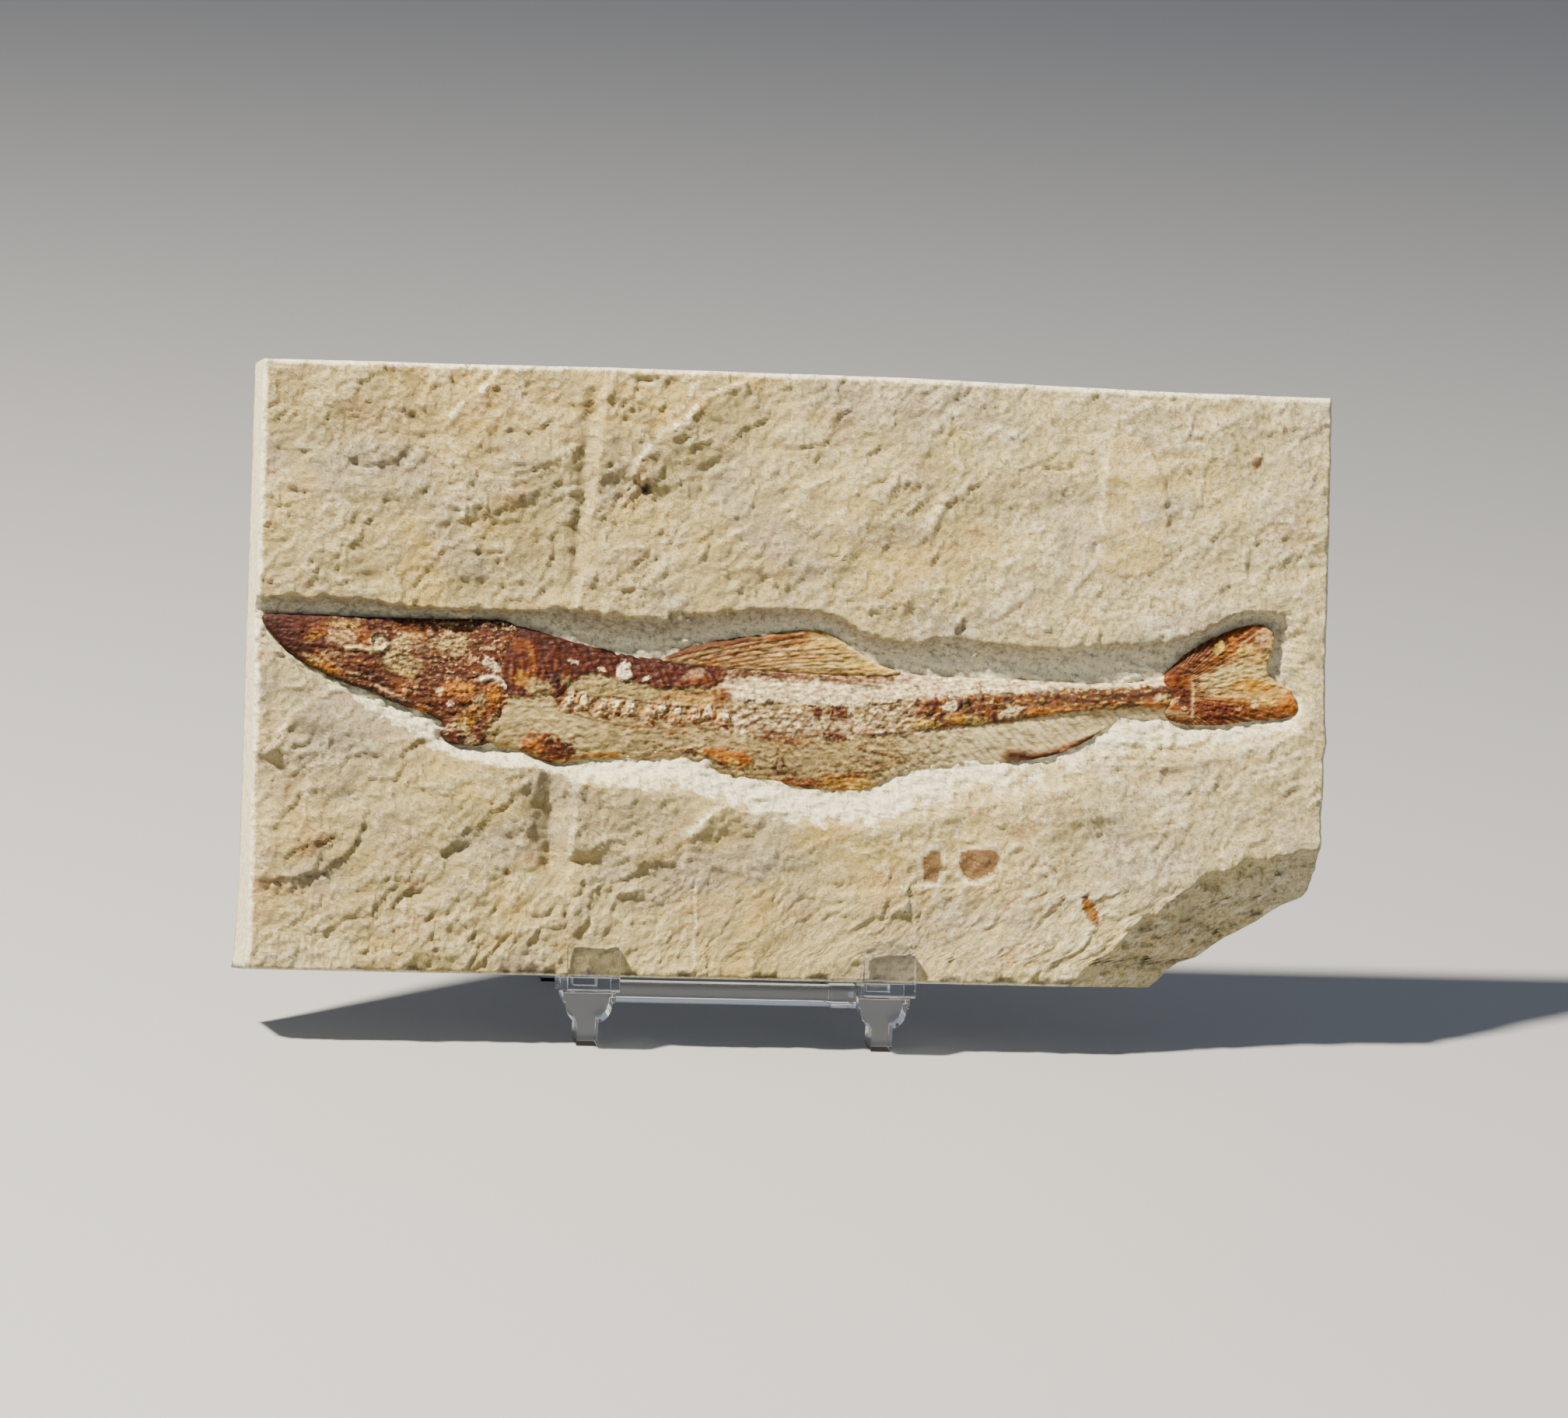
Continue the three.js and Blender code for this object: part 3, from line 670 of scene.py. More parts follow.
class Wiring:
    """Adds and joins the nodes of one material."""

    def __init__(self, name):
        self.material = bpy.data.materials.new(name)
        self.material.use_nodes = True
        self.nodes = self.material.node_tree.nodes
        self.links = self.material.node_tree.links
        self.shader = self.nodes["Principled BSDF"]

    def feed(self, source, target):
        if isinstance(source, bpy.types.NodeSocket):
            self.links.new(source, target)
        else:
            target.default_value = source

    def place(self):
        return self.nodes.new("ShaderNodeTexCoord").outputs["Object"]

    def masks(self, name):
        attribute = self.nodes.new("ShaderNodeAttribute")
        attribute.attribute_name = name
        parts = self.nodes.new("ShaderNodeSeparateColor")
        self.links.new(attribute.outputs["Color"], parts.inputs["Color"])
        return [parts.outputs[channel] for channel in ("Red", "Green", "Blue")]

    def noise(self, where, scale, detail=3.0, roughness=0.55, distortion=0.0):
        node = self.nodes.new("ShaderNodeTexNoise")
        self.links.new(where, node.inputs["Vector"])
        node.inputs["Scale"].default_value = scale
        node.inputs["Detail"].default_value = detail
        node.inputs["Roughness"].default_value = roughness
        node.inputs["Distortion"].default_value = distortion
        return node.outputs["Fac"]

    def math(self, operation, first, second=0.0):
        node = self.nodes.new("ShaderNodeMath")
        node.operation = operation
        self.feed(first, node.inputs[0])
        self.feed(second, node.inputs[1])
        return node.outputs["Value"]

    def ramp(self, value, low, high, to_low=0.0, to_high=1.0):
        node = self.nodes.new("ShaderNodeMapRange")
        node.interpolation_type = "SMOOTHSTEP"
        self.feed(value, node.inputs["Value"])
        node.inputs["From Min"].default_value = low
        node.inputs["From Max"].default_value = high
        node.inputs["To Min"].default_value = to_low
        node.inputs["To Max"].default_value = to_high
        return node.outputs["Result"]

    def blend(self, amount, first, second, mode="MIX"):
        node = self.nodes.new("ShaderNodeMix")
        node.data_type = "RGBA"
        node.blend_type = mode
        self.feed(amount, node.inputs["Factor"])
        self.feed(first, node.inputs["A"])
        self.feed(second, node.inputs["B"])
        return node.outputs["Result"]

    def stretched(self, where, stretch, turn=(0, 0, 0)):
        node = self.nodes.new("ShaderNodeMapping")
        node.vector_type = "TEXTURE"
        self.links.new(where, node.inputs["Vector"])
        node.inputs["Scale"].default_value = stretch
        node.inputs["Rotation"].default_value = turn
        return node.outputs["Vector"]

    def bump(self, height, distance, strength, under=None):
        node = self.nodes.new("ShaderNodeBump")
        node.inputs["Distance"].default_value = distance
        node.inputs["Strength"].default_value = strength
        self.links.new(height, node.inputs["Height"])
        if under is not None:
            self.links.new(under, node.inputs["Normal"])
        return node.outputs["Normal"]


def tone(red, green, blue):
    """A colour as a node wants it, from everyday 0 to 255 values."""
    return tuple((channel / 255) ** 2.2 for channel in (red, green, blue)) + (1.0,)


stone = Wiring("split_limestone")
where = stone.place()
yellow_mask, rose_mask, lilac_mask = stone.masks("stone_tints")
chalk_and_light_mask, rust_mask, dark_mask = stone.masks("stone_marks_and_shade")
cloudy = stone.noise(where, 38, 4)
speckle = stone.noise(where, 900, 5, 0.65)
grit = stone.noise(where, 2600, 3, 0.6)
colour = stone.blend(stone.ramp(cloudy, 0.32, 0.68), tone(180, 160, 104), tone(201, 181, 126))
for mask, strength, tint in (
        (yellow_mask, 0.85, tone(202, 172, 95)), (rose_mask, 0.6, tone(192, 143, 100)),
        (lilac_mask, 0.62, tone(163, 151, 134)), (dark_mask, 0.9, tone(71, 60, 46))):
    colour = stone.blend(stone.math("MULTIPLY", mask, strength), colour, tint)
chalk_and_light_edge = stone.ramp(stone.math("ADD", chalk_and_light_mask, stone.ramp(speckle, 0.2, 0.8, -0.2, 0.2)), 0.05, 0.95)
colour = stone.blend(chalk_and_light_edge, colour, tone(255, 246, 206))
rust_edge = stone.ramp(stone.math("ADD", rust_mask, stone.ramp(speckle, 0.2, 0.8, -0.25, 0.25)), 0.25, 0.75)
colour = stone.blend(stone.math("MULTIPLY", rust_edge, 0.8), colour, tone(104, 60, 26))
colour = stone.blend(stone.ramp(rust_mask, 0.88, 1.0), colour, tone(140, 86, 12))
# Darker in the bump's low speckles and paler on the grit's raised tops: partly the grains' own colour and
# partly painted shade and painted highlight.
colour = stone.blend(stone.ramp(speckle, 0.50, 0.34, 0.0, 0.42), colour, tone(119, 102, 75))
colour = stone.blend(stone.ramp(grit, 0.52, 0.75, 0.0, 0.30), colour, tone(207, 197, 170))
stone.feed(colour, stone.shader.inputs["Base Color"])
stone.feed(stone.ramp(speckle, 0.2, 0.8, 0.86, 0.98), stone.shader.inputs["Roughness"])
stone.shader.inputs["Specular IOR Level"].default_value = 0.25
along_grain = stone.stretched(where, (1.7, 1, 0.8), (0, math.radians(-36), 0))
pits = stone.noise(along_grain, 640, 8, 0.8, 0.2)
relief = stone.bump(pits, 0.0018, 1.0)
relief = stone.bump(speckle, 0.0009, 1.0, relief)
relief = stone.bump(grit, 0.0003, 0.8, relief)
stone.feed(relief, stone.shader.inputs["Normal"])
slab_data.materials.append(stone.material)
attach(slab_stone, "root")
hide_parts("limestone_slab")

# ---------------------------------------------------------------- the fish's body
# The flattened body: petrified bone and skin, dark rust along the back, chalk white behind the
# dorsal fin, and a row of crushed vertebrae with a herring-bone of fine spines below it.
# Each piece of the fish is a relief that rises from the trench floor and ends below it.
bone_tones = {
    "black": (15, 8, 3), "maroon": (46, 17, 5), "umber": (58, 32, 12), "rust": (66, 27, 3),
    "copper": (98, 52, 4), "orange": (134, 76, 1), "ochre": (152, 106, 22), "straw": (174, 147, 70),
    "olive": (124, 110, 72), "sage": (146, 130, 86), "cream": (188, 166, 114), "pink": (176, 140, 100),
    "chalk": (222, 206, 168), "grey": (114, 103, 82), "ivory": (190, 176, 134)}
bone_tones = {name: np.array(tone(*shade)[:3]) for name, shade in bone_tones.items()}
fish_floor = -trench_depth - 0.15      # the level a sheet rises from
fish_root = -trench_depth - 1.4        # the level of its hidden back, inside the stone
sheet_margin = 0.55                    # how far a sheet runs past its outline, sunk in the stone


class Relief:
    """One sheet of fossil: points on the slab, how high each stands and what colour it is."""

    def __init__(self, name, span_u, span_v, cell, outline, ground):
        self.name = name
        self.spans = (span_u, span_v)
        counts = [int((high - low) / cell) for low, high in self.spans]
        self.bm = bmesh.new()
        bmesh.ops.create_grid(self.bm, x_segments=counts[0], y_segments=counts[1], size=0.5)
        for vert, depth in zip(self.bm.verts, inside_depth(*self.spots(), outline)):
            vert.tag = bool(depth > -sheet_margin)
        unwanted = [face for face in self.bm.faces if not all(vert.tag for vert in face.verts)]
        bmesh.ops.delete(self.bm, geom=unwanted, context="FACES")
        self.u, self.v = self.spots()
        self.depth_in = inside_depth(self.u, self.v, outline)
        self.lift = np.zeros(self.u.shape)            # height of all that is laid on it
        self.edge = np.full(self.u.shape, 0.5)        # height of its own edge
        self.crumb = np.ones(self.u.shape)            # how crumbly its surface is
        self.gloss = np.full(self.u.shape, 0.2)
        self.colour = np.tile(bone_tones[ground], (len(self.u), 1))
        self.flaked = 1 - 0.6 * self.blotches(1.1, 0.75, 45, 0.05, 0.35)

    def spots(self):
        """Where the points lie on the slab, from their places in a grid one unit wide."""
        flat = np.array([vert.co for vert in self.bm.verts])
        (left, right), (low, high) = self.spans
        return left + (flat[:, 0] + 0.5) * (right - left), low + (flat[:, 1] + 0.5) * (high - low)

    def lay(self, mask, shade, lift=0.0, gloss=None):
        """Lays a colour, and a thickness in millimetres, over part of the sheet."""
        mask = np.clip(mask, 0, 1)
        self.colour += mask[:, None] * (bone_tones[shade] - self.colour)
        self.lift += mask * lift
        if gloss is not None:
            self.gloss += mask * (gloss - self.gloss)

    def blotches(self, wide, tall, seed, low, high, layers=3):
        """Random blotches about so wide and tall, 1 inside them and 0 outside."""
        return smooth(low, high, layered(self.u / wide, self.v / tall, seed, layers))

    def patches(self, rows):
        for shade, centre, radii, angle, amount, lift in rows:
            shape = patch(self.u, self.v, centre, radii, angle, 0.28, 0.5)
            self.lay(amount * shape * self.flaked, shade, lift)

    def lines(self, rows):
        for shade, line, width, amount, lift in rows:
            off, share = from_line(self.u, self.v, rounded(line, False, 1))
            off = off + 0.16 * rough(self.u / 0.9, self.v / 0.9, 44)
            self.lay(amount * np.exp(-(off / width) ** 2) * taper(share, 0.06), shade, lift)

    def strokes(self, angle, spacing, seed, thin=0.72):
        """Rows of short parallel hairs, 1 on a hair and 0 between."""
        slope = math.radians(angle)
        beside = self.v * math.cos(slope) - self.u * math.sin(slope)
        along = self.u * math.cos(slope) + self.v * math.sin(slope)
        wave = np.abs(np.cos(math.pi * (beside / spacing + 0.4 * rough(self.u / 6, self.v / 6, seed))))
        gaps = smooth(-0.35, 0.1, rough(along / 3.2, beside / spacing, seed + 1))
        return smooth(thin, 1.0, wave) * gaps

    def finish(self, bulge, plateau, material, base=0.0):
        """Lifts the sheet off the trench floor, by base and a bulge, and closes its back below it."""
        u, v = self.u, self.v
        swell = bulge * (1 - (1 - np.clip(self.depth_in / plateau, 0, 1)) ** 2)
        out = fish_floor + base + self.edge * smooth(-0.1, 0.6, self.depth_in) + swell
        crumbs = self.crumb * layered(u / 2.4, v / 1.0, 51, 4)
        out += (self.lift + 0.2 * crumbs) * smooth(-0.3, 0.5, self.depth_in)
        # Darker in the crumbs' hollows and paler on their tops: partly the bone's own mottling and partly
        # painted shade and painted highlight.
        self.colour *= (0.88 + 0.45 * np.clip(crumbs, -0.6, 0.7))[:, None]
        out = np.where(self.depth_in < -0.05, fish_root + 0.3, out)
        colours = np.concatenate([self.colour, self.gloss[:, None]], axis=1)
        rim = [edge for edge in self.bm.edges if edge.is_boundary]
        self.bm.verts.index_update()
        skirt = bmesh.ops.extrude_edge_only(self.bm, edges=rim)["geom"]
        skirt_edges = [e for e in skirt if isinstance(e, bmesh.types.BMEdge) and e.is_boundary]
        self.bm.verts.ensure_lookup_table()
        all_u, all_v = self.spots()
        extra = len(all_u) - len(u)
        all_out = np.concatenate([out, np.full(extra, fish_root)])
        for vert, place in zip(self.bm.verts, place_on_slab(all_u, all_v, all_out)):
            vert.co = place
        bmesh.ops.edgeloop_fill(self.bm, edges=skirt_edges)
        bmesh.ops.recalc_face_normals(self.bm, faces=self.bm.faces)
        for face in self.bm.faces:
            face.smooth = len(face.verts) == 4
        mesh = bpy.data.meshes.new(self.name)
        self.bm.to_mesh(mesh)
        self.bm.free()
        paint(mesh, "bone", np.vstack([colours, np.tile(colours.mean(axis=0), (extra, 1))]))
        mesh.materials.append(material)
        piece = bpy.data.objects.new(self.name, mesh)
        bpy.context.scene.collection.objects.link(piece)
        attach(piece, "root")
        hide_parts("fossil_fish")


bone = Wiring("petrified_bone")
where = bone.place()
painted = bone.nodes.new("ShaderNodeAttribute")
painted.attribute_name = "bone"
fibres = bone.stretched(where, (1.7, 1, 0.75))
fleck = bone.noise(fibres, 1500, 4, 0.65)
blotch = bone.noise(fibres, 420, 4, 0.6)
colour = painted.outputs["Color"]
colour = bone.blend(bone.ramp(fleck, 0.43, 0.30, 0.0, 0.6), colour, tone(48, 25, 9))
# Pale flecks: partly pale grains of bone and partly painted glints on glossy bone.
colour = bone.blend(bone.ramp(fleck, 0.60, 0.75, 0.0, 0.22), colour, tone(182, 150, 98))
colour = bone.blend(bone.ramp(blotch, 0.3, 0.7, 0.0, 0.3), colour, tone(205, 180, 140), "SOFT_LIGHT")
bone.feed(colour, bone.shader.inputs["Base Color"])
bone.feed(bone.ramp(painted.outputs["Alpha"], 0, 1, 0.85, 0.35), bone.shader.inputs["Roughness"])
bone.shader.inputs["Specular IOR Level"].default_value = 0.22
bone.feed(bone.bump(bone.noise(fibres, 1100, 5, 0.65), 0.0003, 0.7), bone.shader.inputs["Normal"])

trunk_outline = rounded([
    [50, 76.6], [57.5, 77.0], *nape, [100, 69.6], [120, 69.2], [139, 69.2], *rear_back,
    [206.5, 71.6], [208.6, 70], [209, 66], [208.6, 60.6], *belly, [53.2, 49.8], [50, 53]])
trunk = Relief("fish_trunk", (49, 210), (40, 79), cell=0.24, outline=trunk_outline, ground="olive")
u, v = trunk.u, trunk.v
streaky = layered(u / 5, v / 1.3, 201, 4)
grainy = layered(u / 1.5, v / 1.1, 202, 3)
trunk.lay(smooth(-0.3, 0.7, streaky), "sage")
trunk.lay(0.5 * trunk.blotches(3, 2, 203, 0.1, 0.8), "cream")
trunk.lay(0.55 * trunk.blotches(9, 3, 204, 0.0, 0.7) * smooth(57, 50, v), "grey")
trunk.lay(0.35 * smooth(57, 52, v) * smooth(140, 120, u), "olive")

# The backbone's line, the pale belly behind, and a herring-bone of fine spines below the backbone.
backbone_at = [56, 70, 85, 100, 115, 130, 150, 165, 180, 205]
backbone_height = [61, 59.6, 58.3, 57.6, 57.2, 57.6, 59.2, 60.8, 62.7, 65]
backbone = np.interp(u, backbone_at, backbone_height)
below = smooth(1.2, 2.6, backbone - v)
rear_belly = smooth(138, 158, u + 2 * grainy) * below
trunk.lay(0.8 * rear_belly * smooth(-0.7, 0.1, streaky), "ivory")
trunk.lay(0.7 * smooth(2.6, 0.4, trunk.depth_in) * smooth(120, 150, u) * below, "ivory")
trunk.edge = 0.5 - 0.42 * rear_belly + 0.9 * smooth(84, 58, u)
mid_belly = smooth(104, 118, u) * smooth(170, 150, u)
trunk.lay(0.5 * below * trunk.strokes(-37, 1.7, 211, 0.8) * mid_belly, "umber", 0.05)
trunk.lay(0.42 * below * trunk.strokes(-40, 1.5, 217, 0.6) * smooth(145, 160, u), "umber", 0.03)
trunk.crumb = 1 - 0.75 * smooth(150, 165, u) * below

# Anal fin: a low dark ridge folded back along the belly, short of the tail.
off, along = from_line(
    u, v, [(165, 50.8), (170.5, 51.3), (174, 50.8), (178, 51.5), (183, 53.6), (191, 57.2)])
anal_fin = np.exp(-((off + 0.3 * grainy) / (2.0 - 1.0 * along)) ** 2) * taper(along, 0.15)
trunk.edge = trunk.edge + 0.6 * anal_fin
trunk.lay(anal_fin, "umber", 0.4, 0.3)
trunk.lay(0.6 * anal_fin * smooth(-0.1, 0.4, streaky), "copper", 0.1)

# Ribs under the front of the backbone.
trunk.lay(0.4 * below * trunk.strokes(-18, 1.3, 212) * smooth(116, 96, u), "grey", 0.04)
trunk.lay(0.5 * below * trunk.strokes(-24, 1.0, 213) * smooth(84, 92, u) * smooth(112, 100, u), "pink", 0.03)

# Chalky skin behind the dorsal fin.
chalk_low = np.interp(
    u, [103, 106, 135, 145, 160, 175, 190, 203], [66, 61.3, 61.2, 62.6, 64.4, 65.7, 66.4, 67.4])
chalky_skin = smooth(-0.4, 0.5, v - chalk_low + 0.5 * grainy) * smooth(103.2, 105, u + 0.7 * grainy)
trunk.lay(chalky_skin * (0.9 + 0.2 * grainy), "chalk", 0.12)
trunk.lay(0.45 * chalky_skin * smooth(0.0, 0.5, streaky), "pink")
trunk.lay(0.5 * chalky_skin * trunk.blotches(2.2, 0.9, 216, 0.1, 0.5), "olive")

# The backbone's crushed middle, chalky with slanting dark strokes.
column_zone = smooth(0, 0.8, v - (backbone - 4.2)) * smooth(0, 0.8, backbone + 3.4 - v)
mid_part = smooth(100, 108, u) * smooth(163, 156, u)
trunk.lay(0.75 * column_zone * mid_part * smooth(-0.3, 0.4, grainy), "chalk", 0.05)
trunk.lay(0.75 * column_zone * mid_part * trunk.strokes(48, 2.1, 214, 0.72), "umber", 0.1)
trunk.lay(0.55 * column_zone * mid_part * trunk.blotches(1.3, 0.9, 215, 0.1, 0.5, 2), "copper", 0.05)

# Dark rusty flesh from the nape along the back, barred by the spines under it.
rust_low = np.interp(
    u, [50, 60, 64, 66, 69, 72, 77, 82, 88, 93, 102, 104.5],
    [62, 61, 62, 61.5, 64, 66.2, 66.7, 65.3, 64.0, 64.0, 64.4, 66.5])
rusty_back = smooth(-0.5, 0.4, v - rust_low + 0.6 * grainy) * smooth(105.2, 103.6, u + 0.8 * grainy)
trunk.lay(rusty_back, "rust", 0.3, 0.55)
trunk.lay(0.4 * rusty_back, "maroon")
back_edge = np.interp(u, [50, 62, 70, 80, 90, 104], [75.5, 72.8, 71, 69.2, 68.2, 67.6])
trunk.lay(0.8 * rusty_back * smooth(-0.35, 0.45, v - back_edge + grainy), "maroon", 0.05)
dark_bars = trunk.strokes(-62, 1.75, 221, 0.45) * smooth(60, 66, u)
trunk.lay(0.8 * rusty_back * dark_bars, "maroon", 0.2)
bright_bars = trunk.strokes(-62, 1.75, 222, 0.8) * smooth(68, 72, u) * smooth(-0.1, 0.3, grainy)
trunk.lay(0.45 * rusty_back * bright_bars, "copper", 0.1, 0.8)
nape_bars = trunk.strokes(84, 1.9, 223, 0.5) * smooth(72, 68, u) * smooth(72, 67, v)
trunk.lay(0.75 * rusty_back * nape_bars, "copper", 0.16)
dark_nape_bars = trunk.strokes(86, 2.1, 224, 0.7) * smooth(71, 67, u) * smooth(73, 68, v)
trunk.lay(0.7 * rusty_back * dark_nape_bars, "maroon", 0.1)

# Crushed vertebrae, each a pale waisted block with a dark joint before the next.
vertebrae = []
for k in range(11):
    at = 69.4 + 3.45 * k + 0.55 * math.sin(k * 4.1)
    level = float(np.interp(at, backbone_at, backbone_height)) + 0.6 + 0.55 * math.sin(k * 2.3)
    half_height = 1.45 + 0.3 * math.sin(k * 3.1)
    vertebrae += [
        ("rust", (at - 1.75, level), (0.8, 2.1), -18, 0.8, 0.0),
        ("pink", (at + 0.2, level), (2.1, half_height), 52 + 14 * math.sin(k * 2.7), 1.0, 0.4),
        ("chalk", (at + 0.4, level + 0.4), (1.4, 0.75), 50 + 35 * math.sin(k * 1.7), 1.0, 0.2),
        ("ochre", (at - 0.9, level + 0.2), (0.5, 1.2), 40, 0.8, 0.0),
        ("copper", (at + 0.9, level - 1.9), (1.4, 0.55), -32, 0.85, 0.05),
        ("maroon", (at + 1.5, level + 1.0), (0.35, 0.7), 0, 0.8, 0.0)]
trunk.patches(vertebrae)

# Broken bone under the dorsal fin, and the thick rusty backbone toward the tail.
under_fin = smooth(66.4, 67.0, v + 0.4 * grainy) * smooth(103, 105, u) * smooth(150, 140, u)
trunk.lay(0.6 * under_fin, "copper", 0.1)
trunk.lay(0.9 * under_fin * trunk.blotches(1.8, 0.7, 237, -0.15, 0.2), "umber", 0.1)
trunk.lay(0.45 * chalky_skin * trunk.strokes(-58, 1.3, 238, 0.7), "grey", 0.04)
trunk.lay(0.6 * column_zone * mid_part * trunk.blotches(1.5, 0.9, 239, 0.25, 0.5), "maroon", 0.1)
rear_width = np.interp(u, [146, 152, 165, 185, 205], [2.6, 3.4, 3.1, 2.2, 2.2])
off_backbone = np.abs(v - backbone - 0.6) + 0.7 * grainy
rear = smooth(rear_width + 0.5, rear_width - 0.4, off_backbone) * smooth(145, 150, u)
trunk.lay(0.85 * rear, "rust", 0.32, 0.5)
trunk.lay(0.8 * rear * trunk.blotches(2.6, 1.6, 233, 0.05, 0.4), "maroon", 0.1)
trunk.lay(0.7 * rear * trunk.blotches(2.2, 1.4, 234, 0.1, 0.4), "copper", 0.1, 0.7)
trunk.lay(0.7 * rear * trunk.blotches(1.9, 0.9, 236, 0.3, 0.55), "straw", 0.1, 0.7)
rear_low = trunk.blotches(2.2, 0.9, 235, 0.25, 0.6, 2) * smooth(0.3, -1, v - backbone)
trunk.lay(0.75 * rear * rear_low, "ochre", 0.05)

# Pectoral fin: a fan of fine rays spreading back from behind the gill cover.
fan_u, fan_v = u - 55.5, v - 62.0
fan_angle = np.degrees(np.arctan2(fan_v, fan_u))
fan_reach = np.hypot(fan_u, fan_v)
fan = smooth(-66, -58, fan_angle) * smooth(-14, -20, fan_angle)
fan *= smooth(3, 5, fan_reach) * smooth(25, 20, fan_reach)
fan_rays = smooth(0.3, 0.95, np.abs(np.cos(np.radians(fan_angle) * 34)))
trunk.lay(0.9 * fan, "sage", 0.1)
trunk.lay(0.5 * fan * (1 - fan_rays), "grey", -0.06)
trunk.lay(0.25 * fan * fan_rays * smooth(-0.2, 0.4, streaky), "cream", 0.04)

